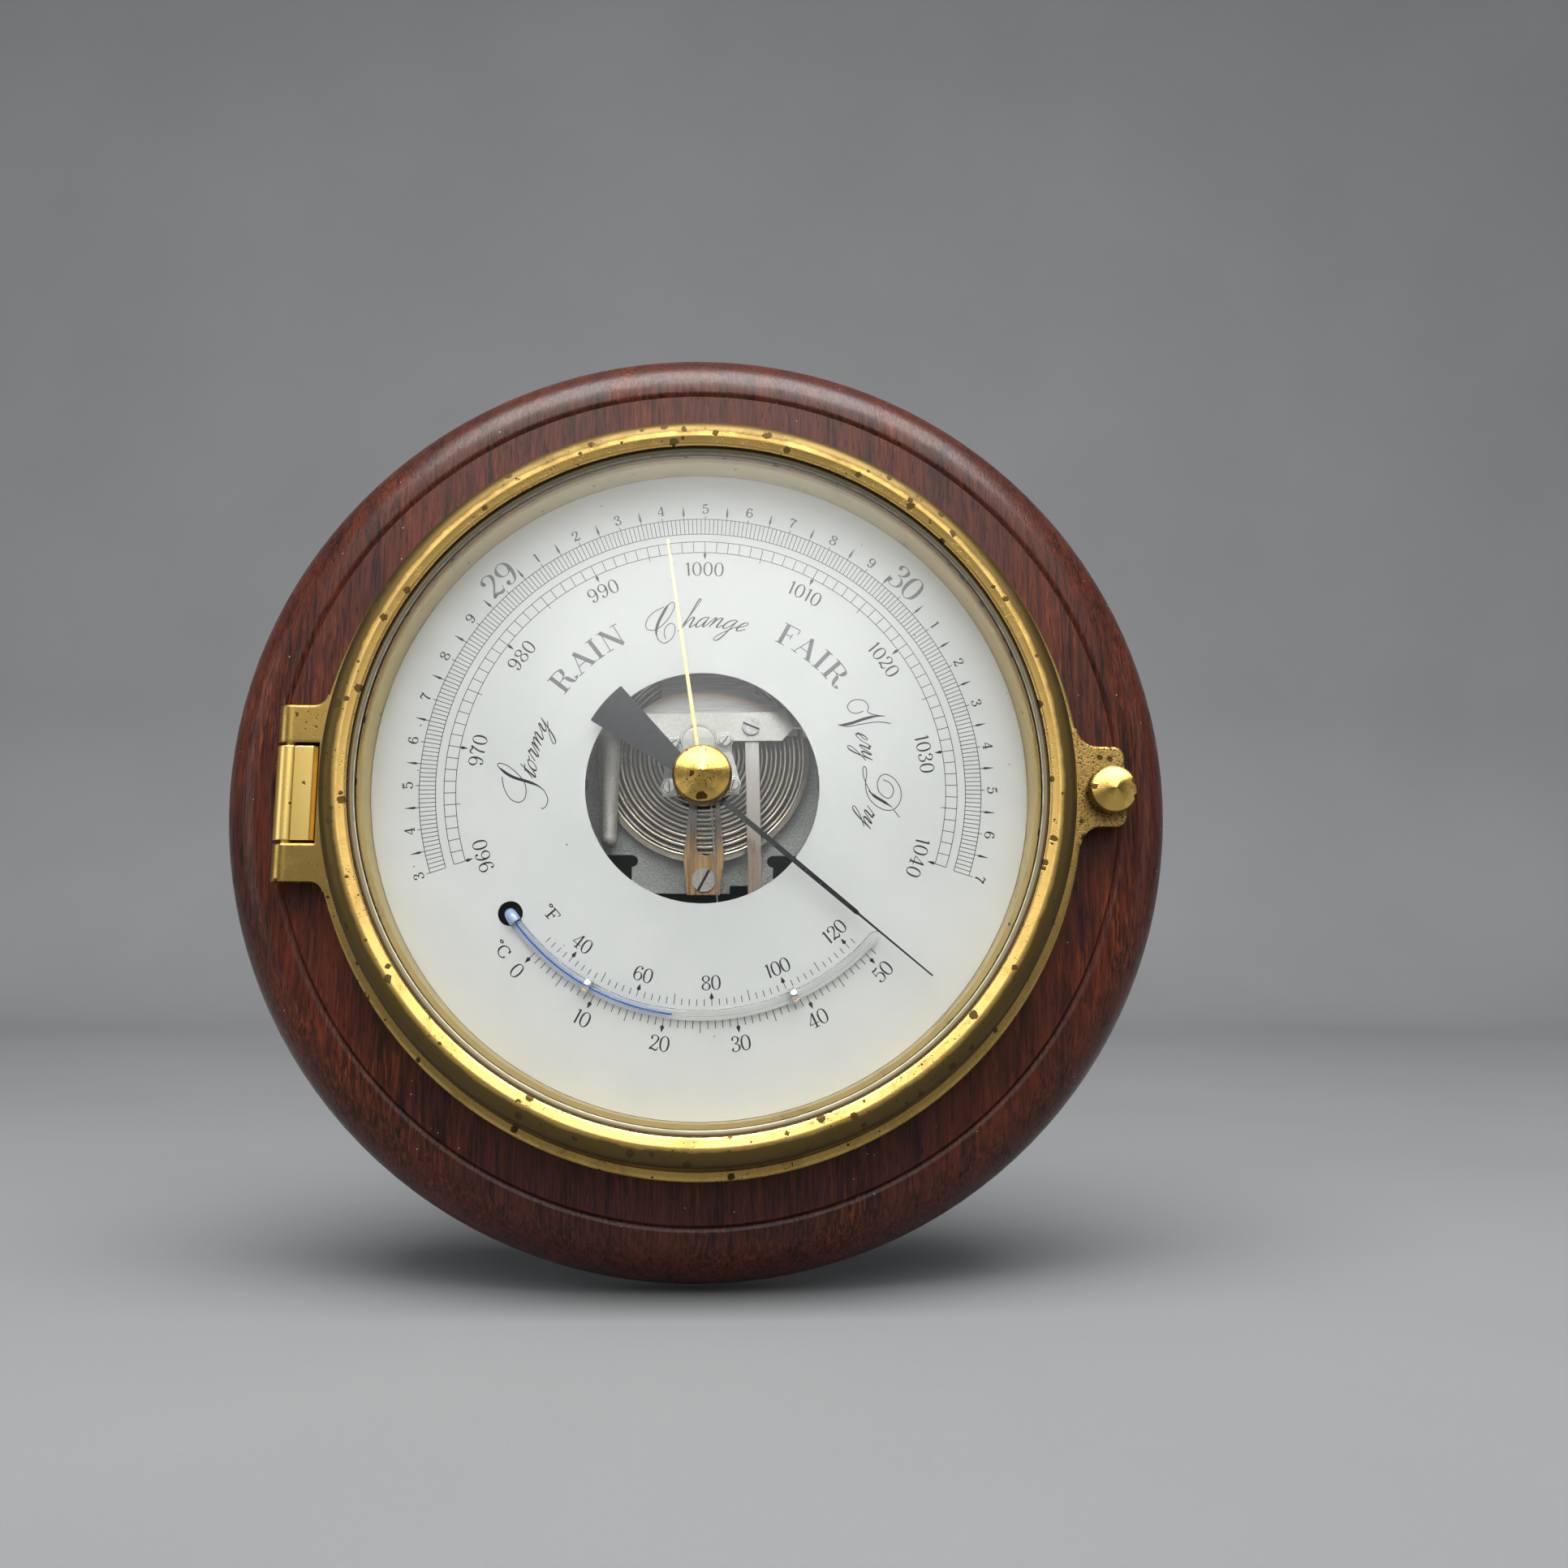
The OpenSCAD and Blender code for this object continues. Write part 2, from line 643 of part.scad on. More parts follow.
module fork_plate() {
    color("#c8905a") face() difference() {
        plate([[-3.4, -23.5], [4.1, -23.5], [5, -15], [3.9, -2.6], [3.9, fork_top_z], [-3.1, fork_top_z],
               [-3.1, -2.6], [-4.4, -15]], fork_h, fork_t);
        translate([fork_screw_x, fork_screw_z, fork_h - 1]) cylinder(r = screw_core_r + 0.05, h = 4);
        lift(fork_h - 1) linear_extrude(height = 3) union() {
            translate([0.75, -12.2]) circle(r = 2.2);
            translate([-1.4, -12.2]) square([4.3, 10.2]);
        }
    }
}

module fork_pillar() {
    color("#b0a070") face() translate([fork_screw_x, fork_screw_z, 0])
        ring(1.9, screw_core_r + 0.05, base_h, fork_h);
}

module fork_screw() {
    color("#b9babb") face() translate([fork_screw_x, fork_screw_z, fork_h + fork_t])
        slotted_screw(2.7, 1.1, screw_core_r, fork_h + fork_t - base_h + 0.8, 62);
}

// Carried on the fork by two short legs, it bears the arbor's lower pivot
module bearing_bridge() {
    color("#9d9fa1") face() difference() {
        union() {
            plate([[-9.2, -1.3], [8.4, -0.7], [8.4, 2.6], [6.6, 9.4], [6.6, 12.9], [-8.6, 12.2],
                   [-8.6, 8.8], [-9.2, 1.9]], bridge_h, bridge_t);
            for (x = [-2.3, 3.1]) translate([x, 0.6, 0]) disc(0.75, fork_h + fork_t, bridge_h + eps);
            for (p = bearing_posts) translate([p.x, p.y, 0]) disc(1.15, bridge_h, bearing_h);
        }
        disc(arbor_r + pivot_play, bridge_h - 1, bridge_h + 3);
        for (p = bearing_posts) translate([p.x, p.y, 0]) disc(0.55, bridge_h - 1, bearing_h + 1);
    }
}

module bearing_outline() {
    for (p = bearing_posts) translate(p) circle(r = 1.75);
    translate([-1.1, 10.6]) circle(r = 4.4);
    polygon([[-7.6, -1.3], [6.8, -0.7], [6, 10], [-7, 10]]);
}

// The clear moulded plate that carries the arbor's upper bearing
module bearing_plate() {
    color("#dfe6e8", 0.4) face() difference() {
        lift(bearing_h) linear_extrude(height = bearing_t) bearing_outline();
        disc(arbor_r + pivot_play, bearing_h - 1, bearing_h + 3);
        for (p = bearing_posts) translate([p.x, p.y, 0]) disc(0.6, bearing_h - 1, bearing_h + 3);
    }
}

module bearing_screws() {
    color("#b9babb") face() for (i = [0:3])
        translate([bearing_posts[i].x, bearing_posts[i].y, bearing_h + bearing_t])
            slotted_screw(1.2, 0.55, 0.5, bearing_t + 1.6, 35 + 20 * i);
}

crank_r = 0.7;
crank_span = 9.5;
crank_x = 8.6;
bracket_t = 1;

// A bent bracket on the case's floor; its two cheeks carry the bell crank's shaft
module crank_bracket() {
    cheek_top = crank_h + 2;
    foot_h = cup_floor_h + case_t;
    color("#a7abab") face() difference() {
        union() {
            for (s = [-1, 1]) translate([crank_x + s * (crank_span + bracket_t) / 2 - bracket_t / 2,
                crank_z - 2.2, foot_h]) cube([bracket_t, 4.4, cheek_top - foot_h]);
            translate([crank_x - crank_span / 2 - bracket_t, crank_z - 2.2, foot_h])
                cube([crank_span + 2 * bracket_t, 4.4, bracket_t]);
        }
        translate([crank_x - 10, crank_z, crank_h]) rotate([0, 90, 0])
            cylinder(r = crank_r + pivot_play, h = 20);
    }
}

// Reached through the back of the plinth; it shifts the capsule to set the reading
module adjusting_screw() {
    color("#b39a4a") face() translate([0, capsule_z, 0]) difference() {
        union() {
            disc(3.4, 4.3, 6.3);
            disc(2, 6.3 - eps, capsule_h - 0.2);
        }
        translate([-5, -0.5, 3]) cube([10, 1, 2.1]);
    }
}

// What the capsule moves

pivot_r = 0.5;
arm_left = -20.6;
arm_tip = 20.8;
strip_x = 11.4;
lever_screw_x = 11;
strip_end_z = -34.4;

module lever_arm() {
    color("#c6c9cb") face() difference() {
        plate([[arm_left, arm_z - 2.6], [arm_left + 3.6, arm_z - 3.4], [arm_left + 11.6, arm_z - 3.7],
               [arm_tip - 2.6, arm_z - 3.3], [arm_tip - 0.8, arm_z - 1.4], [arm_tip, arm_z - pivot_r - 0.1],
               [arm_tip, arm_z + pivot_r + 0.1], [arm_tip - 2, arm_z + 3.7], [arm_left + 7.1, arm_z + 2.8],
               [arm_left, arm_z + 2.4]], arm_h, arm_t);
        translate([lever_screw_x, arm_z, arm_h - 1]) cylinder(r = 0.85, h = 4);
    }
}

// A pin at each end of the arm
module lever_pivots() {
    color("#aeb0b2") face() translate([0, arm_z, arm_h + arm_t / 2]) {
        translate([post_x - 3, 0, 0]) rotate([0, 90, 0]) cylinder(r = pivot_r, h = arm_left - post_x + 3);
        translate([arm_tip, 0, 0]) rotate([0, 90, 0]) cylinder(r = pivot_r, h = 3.9);
    }
}

module lever_strip() {
    color("#b9a793") face() difference() {
        plate([[strip_x - 1.9, arm_z + 1.6], [strip_x + 1.4, arm_z + 1.6], [strip_x + 2.6, strip_end_z],
               [strip_x - 0.5, strip_end_z]], strip_h, strip_t);
        translate([lever_screw_x, arm_z, strip_h - 1]) cylinder(r = 0.85, h = 4);
    }
}

module lever_screw() {
    color("#c2c4c6") face() translate([lever_screw_x, arm_z, arm_h + arm_t])
        slotted_screw(2.05, 0.9, 0.8, arm_t + strip_t + 0.1, -22);
}

wire_r = 0.22;
crank_arm_l = 7.5;
finger_l = 5.6;
chain_w = 0.66;
wire_top = [drum_r + chain_w / 2 + 0.3, 0, drum_h + drum_t / 2];
wire_end = [3.8, crank_z + 0.2, crank_h + crank_arm_l];
wire_dir = (wire_end - wire_top) / norm(wire_end - wire_top);

// The shaft turns in the bracket: a finger hangs down behind the strip and an arm holds the wire
module bell_crank() {
    color("#b0b2b4") face() {
        translate([crank_x - crank_span / 2 - 1.6, crank_z, crank_h]) rotate([0, 90, 0])
            cylinder(r = crank_r, h = crank_span + 3.2);
        translate([strip_x - 0.2, crank_z + 0.4 - finger_l, crank_h - 0.4])
            cube([1.6, finger_l, strip_h - crank_h - 0.1]);
        translate([wire_end.x + wire_r + 0.4, crank_z - 0.4, crank_h]) cube([0.8, 0.8, crank_arm_l + 0.6]);
    }
}

module along_wire(from, l) {
    a = acos(wire_dir.z);
    b = atan2(wire_dir.y, wire_dir.x);
    translate(wire_top + wire_dir * from) rotate([0, a, b]) cylinder(r = wire_r, h = l);
}

chain_l = 10.4;
chain_wire_l = norm(wire_end - wire_top) - chain_l;

module pull_wire() {
    color("#b8babb") face() along_wire(chain_l, chain_wire_l);
}

link_l = 0.8;

// Flat links set at right angles in turn along a straight line
module drive_chain() {
    a = acos(wire_dir.z);
    b = atan2(wire_dir.y, wire_dir.x);
    color("#a9abad") face() translate(wire_top) rotate([0, a, b])
        for (i = [-4:floor(chain_l / link_l) - 1]) translate([0, 0, i * link_l]) rotate([0, 0, 90 * (i % 2)])
            translate([-chain_w / 2, -chain_w / 5, 0])
                cube([chain_w, 0.4 * chain_w, link_l + (i < chain_l / link_l - 2 ? 0.06 : 0)]);
}

// The needle and what turns with it

module indicator_hand() {
    thick_l = 44.6;
    color("#1b1c1e") face() rotate([0, 0, -hand_a]) difference() {
        union() {
            plate([[-0.65, 0], [0.65, 0], [0.5, thick_l], [0.24, thick_l + 0.6], [0.16, hand_l],
                   [-0.16, hand_l], [-0.24, thick_l + 0.6], [-0.5, thick_l]], needle_h, hand_t);
            plate(concat([[-1, 0], [1, 0]], arc_points([0, 0], tail_r, -90 + tail_half_a, -90 - tail_half_a, 12)),
                needle_h, hand_t);
            disc(hub_r, needle_h, needle_h + hand_t);
        }
        disc(arbor_r, needle_h - 1, needle_h + 1);
    }
}

module hand_hub() {
    color("#2a2b2d") face() difference() {
        disc(1.3, needle_h - hub_t, needle_h);
        disc(arbor_r, needle_h - hub_t - 1, needle_h + 1);
    }
}

module arbor() {
    color("#b5b7b9") face() disc(arbor_r, bridge_h - 0.7, needle_h + hand_t + 0.3);
}

module chain_drum() {
    color("#c7a24a") face() difference() {
        disc(drum_r, drum_h, drum_h + drum_t);
        disc(arbor_r, drum_h - 1, drum_h + 2);
    }
}

// The door

ear_top = block_l / 2 + ear_gap + ear_l;
lug_centre_z = 0.6;
root_x = bezel_r - 14;
door_seat_r = case_wide_r + 1.6;
bezel_seat_r = case_out_r + 2.3;
block_gap = 0.55;

module ear_plan() {
    mirror([1, 0]) {
        translate([root_x, hinge_z - ear_top]) square([hinge_x - root_x, 2 * ear_top]);
        fillet_patch(hinge_z + ear_top, door_r, 3.2);
        fillet_patch(hinge_z - ear_top, door_r, 3.2);
    }
}

module lug_plan() {
    corner = 2.4;
    low = lug_centre_z - lug_l / 2;
    polygon(concat([[root_x, low]], arc_points([lug_x - corner, low + corner], corner, -90, 0, 6),
        arc_points([lug_x - corner, low + lug_l - corner], corner, 0, 90, 6), [[root_x, low + lug_l]]));
    fillet_patch(low, door_r, 5);
    fillet_patch(low + lug_l, door_r, 5);
}

module door_casting() {
    edge = 0.8;
    color("#c39a3c") face() difference() {
        union() {
            rotate_extrude() polygon([
                [door_seat_r, door_back_h], [door_r - 0.3, door_back_h], [door_r, door_back_h + 0.3],
                [door_r, door_front_h - edge], [door_r - edge * 0.3, door_front_h - edge * 0.3],
                [door_r - edge, door_front_h], [door_seat_r, door_front_h]]);
            lift(door_back_h) linear_extrude(height = door_t) difference() {
                union() {
                    ear_plan();
                    lug_plan();
                }
                circle(r = bezel_r - 2);
            }
            translate([-hinge_x, hinge_z - ear_top, hinge_h]) rotate([-90, 0, 0])
                cylinder(r = knuckle_r, h = 2 * ear_top);
        }
        disc(flange_r + 0.8, 0, flange_h + flange_t + 0.6);
        translate([-hinge_x - 10, hinge_z - block_l / 2 - ear_gap, 0])
            cube([10 + block_w + block_gap, block_l + 2 * ear_gap, 50]);
        translate([-hinge_x, hinge_z - pin_l / 2 - 0.2, hinge_h]) rotate([-90, 0, 0])
            cylinder(r = pin_r + pin_play, h = pin_l + 0.4);
        translate([latch_x, latch_z, 0]) cylinder(r = latch_shank_r + 0.06, h = 50);
    }
}

// Pressed onto the casting; its ledge carries the glass
module bezel_ring() {
    color("#d0a741") face() rotate_extrude() polygon(concat(
        [[bezel_r, door_front_h], [bezel_r, door_front_h + 0.8], [bezel_r - 0.5, door_front_h + 2.2],
         [bezel_r - 1.3, crest_h - 5.4]],
        arc_points([bezel_in_r + 2.6, crest_h - 4], 4, 0, 100, 8),
        [[bezel_in_r + 0.3, crest_h - 0.6], [bezel_in_r, crest_h - 1.1], [bezel_in_r, glass_h],
         [sight_r, glass_h], [sight_r, ledge_h], [sight_r + 1, ledge_h], [bezel_seat_r, case_rim_h - 2],
         [bezel_seat_r, door_front_h]]));
}

module glass() {
    color("#dfe9e6", 0.3) face() ring(glass_r, glass_hole_r, glass_h, glass_top_h);
}

module glass_bead() {
    color("#cdd0b4") face() ring(glass_r, sight_r, glass_top_h, glass_top_h + bead_t);
}

module knob_bush() {
    color("#b98f35") face() difference() {
        union() {
            disc(bush_r, glass_h - bush_flange_t, glass_top_h + bush_flange_t);
            disc(bush_flange_r, glass_top_h, glass_top_h + bush_flange_t);
            disc(bush_flange_r - 0.6, glass_h - bush_flange_t, glass_h);
        }
        disc(set_shaft_r + pin_play, glass_h - 2, glass_top_h + 2);
    }
}

// The setting knob, its shaft through the glass, and the hand on its inner end

knurl_count = 64;
knurl_depth = 0.22;

module knurled_knob(r, edge, cone, n) {
    linear_extrude(height = edge) polygon(knurl_points(r, knurl_depth, n));
    translate([0, 0, edge - eps]) cylinder(r1 = r - knurl_depth, r2 = 0.15, h = cone);
}

module set_knob() {
    color("#d8ab3a") face() difference() {
        lift(knob_h) knurled_knob(knob_r, knob_edge, knob_cone, knurl_count);
        disc(set_shaft_r, knob_h - 1, knob_h + 3);
    }
}

module set_shaft() {
    color("#c8ab5e") face() disc(set_shaft_r, set_hand_base_h - 0.4, knob_h + 3);
}

module set_washer() {
    color("#b98f35") face() ring(2.6, set_shaft_r, washer_h, washer_h + washer_t);
}

module set_hand() {
    color("#dcc27a") face() rotate([0, 0, -set_hand_a]) difference() {
        union() {
            disc(2.2, set_hand_base_h, set_hand_base_h + set_hand_t);
            plate([[-0.5, 0], [0.5, 0], [0.28, set_hand_l], [-0.28, set_hand_l]], set_hand_base_h, set_hand_t);
        }
        disc(set_shaft_r, set_hand_base_h - 1, set_hand_base_h + 1);
    }
}

// The latch

latch_edge = 3.5;
latch_cone = 1.9;
latch_gap = 0.3;
latch_knob_h = door_front_h + latch_gap;

module latch_screw() {
    color("#c79c3e") face() translate([latch_x, latch_z, 0]) {
        disc(latch_shank_r, shank_end_h, latch_knob_h + 2);
    }
}

module latch_knob() {
    color("#d8ab3a") face() translate([latch_x, latch_z, 0]) difference() {
        lift(latch_knob_h) knurled_knob(latch_r, latch_edge, latch_cone, 48);
        disc(latch_shank_r + 0.03, latch_knob_h - 1, latch_knob_h + 2.05);
    }
}

wood_plinth();
hanger_plate();
hanger_screws();
block_screws();
instrument_case();
case_screws();
hinge_block();
hinge_pin();
latch_insert();
dial();
dial_posts();
base_plate();
plate_pillars();
plate_screws();
capsule();
capsule_stem();
main_spring();
cast_frame();
fork_plate();
fork_pillar();
fork_screw();
bearing_bridge();
bearing_plate();
bearing_screws();
crank_bracket();
adjusting_screw();
lever_arm();
lever_pivots();
lever_strip();
lever_screw();
bell_crank();
pull_wire();
drive_chain();
indicator_hand();
hand_hub();
arbor();
chain_drum();
thermometer_tube();
thermometer_bulb();
thermometer_liquid();
tube_clips();
door_casting();
bezel_ring();
glass();
glass_bead();
knob_bush();
set_knob();
set_shaft();
set_washer();
set_hand();
latch_screw();
latch_knob();
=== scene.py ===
import math

import bmesh
import bpy
from mathutils import Matrix, Vector


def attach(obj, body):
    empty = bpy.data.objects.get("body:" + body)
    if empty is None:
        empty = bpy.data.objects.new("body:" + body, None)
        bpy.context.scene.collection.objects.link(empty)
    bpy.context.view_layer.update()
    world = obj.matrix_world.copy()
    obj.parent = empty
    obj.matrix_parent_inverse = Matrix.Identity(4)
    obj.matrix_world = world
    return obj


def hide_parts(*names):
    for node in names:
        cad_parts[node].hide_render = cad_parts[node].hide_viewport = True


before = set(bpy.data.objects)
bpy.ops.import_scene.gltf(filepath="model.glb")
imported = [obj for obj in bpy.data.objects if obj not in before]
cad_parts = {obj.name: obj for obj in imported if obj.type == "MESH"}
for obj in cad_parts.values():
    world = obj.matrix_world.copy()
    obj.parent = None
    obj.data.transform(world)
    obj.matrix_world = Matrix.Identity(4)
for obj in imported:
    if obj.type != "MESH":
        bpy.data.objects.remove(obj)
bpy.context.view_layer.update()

# Camera, floor and lights.
# The photograph was taken from just below the dial's middle, looking up at it by ten degrees. The
# floor is a sheet of grey paper that curves up behind the barometer.
lens = bpy.data.cameras.new("camera")
lens.sensor_width = 36
lens.lens = 33.242
lens.clip_start = 0.01
camera = bpy.data.objects.new("camera", lens)
camera.location = (0.00317, -0.3475, -0.05674)
camera.rotation_euler = (math.radians(100.11), 0, math.radians(-2.7))
bpy.context.scene.collection.objects.link(camera)
bpy.context.scene.camera = camera
bpy.context.scene.view_settings.view_transform = "Standard"


def set_sockets(node, sockets):
    """Sets a node's sockets to values or colours, or joins them to other sockets."""
    for name, value in sockets.items():
        socket = node.inputs[name]
        if isinstance(value, bpy.types.NodeSocket):
            node.id_data.links.new(value, socket)
        else:
            socket.default_value = (*value, 1) if socket.type == "RGBA" else value


def add_node(tree, kind, sockets=None, **settings):
    """A shader node, with its settings and sockets."""
    node = tree.nodes.new("ShaderNode" + kind)
    for name, value in settings.items():
        setattr(node, name, value)
    set_sockets(node, sockets or {})
    return node


def feed(shader, **sockets):
    """Sets the surface shader's own sockets, or joins them to what changes over the surface."""
    set_sockets(shader, {name.replace("_", " "): value for name, value in sockets.items()})


def new_material(name, **sockets):
    """A material, and the tree and surface shader to add to."""
    material = bpy.data.materials.new(name)
    material.use_nodes = True
    shader = material.node_tree.nodes["Principled BSDF"]
    feed(shader, **sockets)
    return material, material.node_tree, shader


def blend(tree, factor, first, second, mode="MIX"):
    """Two colours mixed by a factor."""
    node = add_node(tree, "Mix", data_type="RGBA", blend_type=mode)
    set_sockets(node, {0: factor, 6: first, 7: second})
    return node.outputs[2]


def between(tree, value, low, high, to_low=0.0, to_high=1.0):
    """A value carried from one span to another, held at the ends."""
    return add_node(tree, "MapRange", {0: value, 1: low, 2: high, 3: to_low, 4: to_high}).outputs[0]


def stretched(tree, scale=(1, 1, 1), turn=(0, 0, 0), shift=(0, 0, 0)):
    """Places on the object, stretched so that a pattern runs long in one direction."""
    place = add_node(tree, "TexCoord").outputs["Object"]
    return add_node(tree, "Mapping", {"Vector": place, "Scale": scale, "Rotation": turn,
                                      "Location": shift}).outputs[0]


def noise(tree, scale, detail, rough=0.55, warp=0.0, stretch=(1, 1, 1), turn=(0, 0, 0)):
    """Soft random patches."""
    place = stretched(tree, stretch, turn)
    return add_node(tree, "TexNoise", {"Vector": place, "Scale": scale, "Detail": detail,
                                       "Roughness": rough, "Distortion": warp}).outputs["Fac"]


def bump(tree, height, distance, strength, round_edge=0.0):
    """A surface normal from a height, with softened edges where a radius is given, in millimetres."""
    sockets = {"Height": height, "Distance": distance / 1000, "Strength": strength}
    if round_edge:
        edge = add_node(tree, "Bevel", {"Radius": round_edge / 1000}, samples=4)
        sockets["Normal"] = edge.outputs[0]
    return add_node(tree, "Bump", sockets).outputs[0]


def extruded(bm, edges):
    """The new corners and the new edges of extruded edges."""
    grown = bmesh.ops.extrude_edge_only(bm, edges=edges)["geom"]
    return [[part for part in grown if isinstance(part, kind)]
            for kind in (bmesh.types.BMVert, bmesh.types.BMEdge)]


def strip(bm, places):
    """A line of corners, and the corners extruded from it, still to be moved."""
    line = [bm.verts.new(place) for place in places]
    return line, extruded(bm, [bm.edges.new(pair) for pair in zip(line, line[1:])])[0]


def new_object(name, bm, material):
    """A finished mesh, at the origin, from a bmesh."""
    mesh = bpy.data.meshes.new(name)
    bm.to_mesh(mesh)
    bm.free()
    mesh.shade_smooth()
    mesh.materials.append(material)
    thing = bpy.data.objects.new(name, mesh)
    bpy.context.scene.collection.objects.link(thing)
    return thing


paper, tree, shader = new_material("grey_paper", Roughness=0.8)
cloud = between(tree, noise(tree, 5, 3), 0.3, 0.7)
feed(shader, Base_Color=blend(tree, cloud, (0.166, 0.17, 0.176), (0.18, 0.185, 0.19)),
     Normal=bump(tree, noise(tree, 900, 3), 0.3, 0.2))
PAPER_Z, CURVE_Y, CURVE_R, HALF_WIDTH, TILT = -0.1108, 0.8, 0.35, 1.8, 4.5
slope = math.tan(math.radians(TILT))
run = [(y, PAPER_Z + y * slope) for y in (-3.6, -1.1, -0.3, 0.3, CURVE_Y)]
for i in range(1, 15):
    a = math.radians(TILT + 6 * i)
    run.append((CURVE_Y + CURVE_R * math.sin(a), PAPER_Z + CURVE_Y * slope + CURVE_R * (1 - math.cos(a))))
run.append((1.16, 1.5))
bm = bmesh.new()
far_side = strip(bm, [(-HALF_WIDTH, y, z) for y, z in run])[1]
bmesh.ops.translate(bm, verts=far_side, vec=(2 * HALF_WIDTH, 0, 0))
new_object("floor", bm, paper)


def soft_light(name, place, width, height, power, tint=(1, 1, 1)):
    """A plain lamp panel that faces the barometer."""
    lamp = bpy.data.lights.new(name, "AREA")
    lamp.shape = "RECTANGLE"
    lamp.size, lamp.size_y = width, height
    lamp.energy = power
    lamp.color = tint
    thing = bpy.data.objects.new(name, lamp)
    thing.location = place
    thing.rotation_euler = (-Vector(place)).to_track_quat("-Z", "Y").to_euler()
    bpy.context.scene.collection.objects.link(thing)


soft_light("overhead", (0.02, -0.42, 0.85), 1.1, 0.6, 20.5, (1.0, 0.995, 0.98))
soft_light("left_panel", (-1.1, -0.5, 0.15), 0.5, 0.9, 2.0)
soft_light("right_panel", (1.1, -0.45, 0.2), 0.4, 0.9, 0.9)
world = bpy.data.worlds.new("world")
world.use_nodes = True
sky = world.node_tree


def glow(way, low, high):
    """How far a part of the sky lies towards one way."""
    facing = add_node(sky, "VectorMath", {0: add_node(sky, "TexCoord").outputs["Generated"], 1: way},
                      operation="DOT_PRODUCT").outputs["Value"]
    return add_node(sky, "MapRange", {0: facing, 1: low, 2: high},
                    interpolation_type="SMOOTHSTEP").outputs[0]


light = blend(sky, glow((0, -0.7071, 0.7071), 0.8, 0.98), (0.14, 0.144, 0.152), (3.5, 3.5, 3.47))
light = blend(sky, glow((0.004, -0.966, 0.258), 0.986, 0.9995), light, (1.1, 1.11, 1.13), "ADD")
sky.links.new(light, sky.nodes["Background"].inputs[0])
bpy.context.scene.world = world


# Wooden plinth.
# Turned from one board of mahogany, stained dark red-brown and given a semi-gloss varnish. The grain
# runs straight up and down, with short open pores, and shows orange where it catches the light.
def new_group(name, inputs, outputs):
    """A shader node group, the sockets that it is given, and the node for its results."""
    group = bpy.data.node_groups.new(name, "ShaderNodeTree")
    for label, kind in inputs:
        group.interface.new_socket(label, in_out="INPUT", socket_type="NodeSocket" + kind)
    for label, kind in outputs:
        group.interface.new_socket(label, in_out="OUTPUT", socket_type="NodeSocket" + kind)
    return group, group.nodes.new("NodeGroupInput").outputs, group.nodes.new("NodeGroupOutput")


def maths(tree, operation, first, second=0.0):
    """One arithmetic step."""
    return add_node(tree, "Math", {0: first, 1: second}, operation=operation).outputs[0]


def times(tree, *values):
    """Values multiplied together."""
    product, *others = values
    for value in others:
        product = maths(tree, "MULTIPLY", product, value)
    return product


def minus(tree, first, second):
    return maths(tree, "SUBTRACT", first, second)


def cells(tree, scale):
    """Random cells: how far a place is from its cell's middle, and the cell's random number."""
    found = add_node(tree, "TexVoronoi", {"Vector": stretched(tree), "Scale": scale}).outputs
    return found["Distance"], add_node(tree, "SeparateColor", {0: found["Color"]}).outputs[0]


def joined(piece, body, slot, *nodes, sharp=30):
    """Fixes a new piece to its body, with crisp corners, in place of the CAD pieces that it stands for."""
    piece.data.set_sharp_from_angle(angle=math.radians(sharp))
    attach(piece, body)
    if nodes:
        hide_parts(*nodes)
    return piece


def even_shading(piece):
    """Keeps the flat faces of a piece with rounded corners evenly lit."""
    piece.modifiers.new("even_shading", "WEIGHTED_NORMAL").keep_sharp = True


def merged_copy(name, node, material):
    """A CAD piece's own shape as one joined mesh."""
    bm = bmesh.new()
    bm.from_mesh(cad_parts[node].data)
    bmesh.ops.remove_doubles(bm, verts=bm.verts, dist=1e-6)
    bmesh.ops.dissolve_limit(bm, angle_limit=math.radians(0.6), verts=bm.verts, edges=bm.edges)
    return new_object(name, bm, material)


dust, given, result = new_group("dust", [("Amount", "Float")], [("Specks", "Float")])
distance, chosen = cells(dust, 650)
near = maths(dust, "LESS_THAN", distance, 0.11)
few = maths(dust, "LESS_THAN", chosen, given["Amount"])
drift = between(dust, noise(dust, 60, 2), 0.35, 0.65)
feed(result, Specks=times(dust, near, few, drift))


def dusty(tree, amount):
    return add_node(tree, "Group", {"Amount": amount}, node_tree=dust).outputs["Specks"]


wood, tree, shader = new_material("mahogany", Coat_Roughness=0.24, Coat_IOR=1.4, Specular_IOR_Level=0.18)
lean = (0, math.radians(-5), 0)
broad = between(tree, noise(tree, 230, 3, 0.6, stretch=(1, 1, 0.09), turn=lean), 0.36, 0.66)
fine = between(tree, noise(tree, 1500, 2, 0.7, stretch=(1, 1, 0.055), turn=lean), 0.38, 0.66)
patch = between(tree, noise(tree, 42, 3, 0.6, 0.5, stretch=(1, 1, 0.45)), 0.44, 0.66)
flame = between(tree, noise(tree, 1500, 3, 0.65, 0.3, stretch=(1, 1, 0.09), turn=lean), 0.5, 0.66)
pores = between(tree, noise(tree, 2600, 1, 0.5, stretch=(1, 1, 0.1), turn=lean), 0.6, 0.7)
tone = blend(tree, broad, (0.008, 0.0022, 0.0017), (0.05, 0.0105, 0.0055))
tone = blend(tree, times(tree, fine, 0.6), tone, (0.105, 0.024, 0.0115))
tone = blend(tree, times(tree, patch, times(tree, flame, 0.6)), tone, (0.2, 0.046, 0.015))
tone = blend(tree, times(tree, pores, 0.8), tone, (0.008, 0.003, 0.003))
tone = blend(tree, times(tree, dusty(tree, 0.05), 0.8), tone, (0.45, 0.4, 0.36))
relief = minus(tree, times(tree, fine, 0.35), pores)
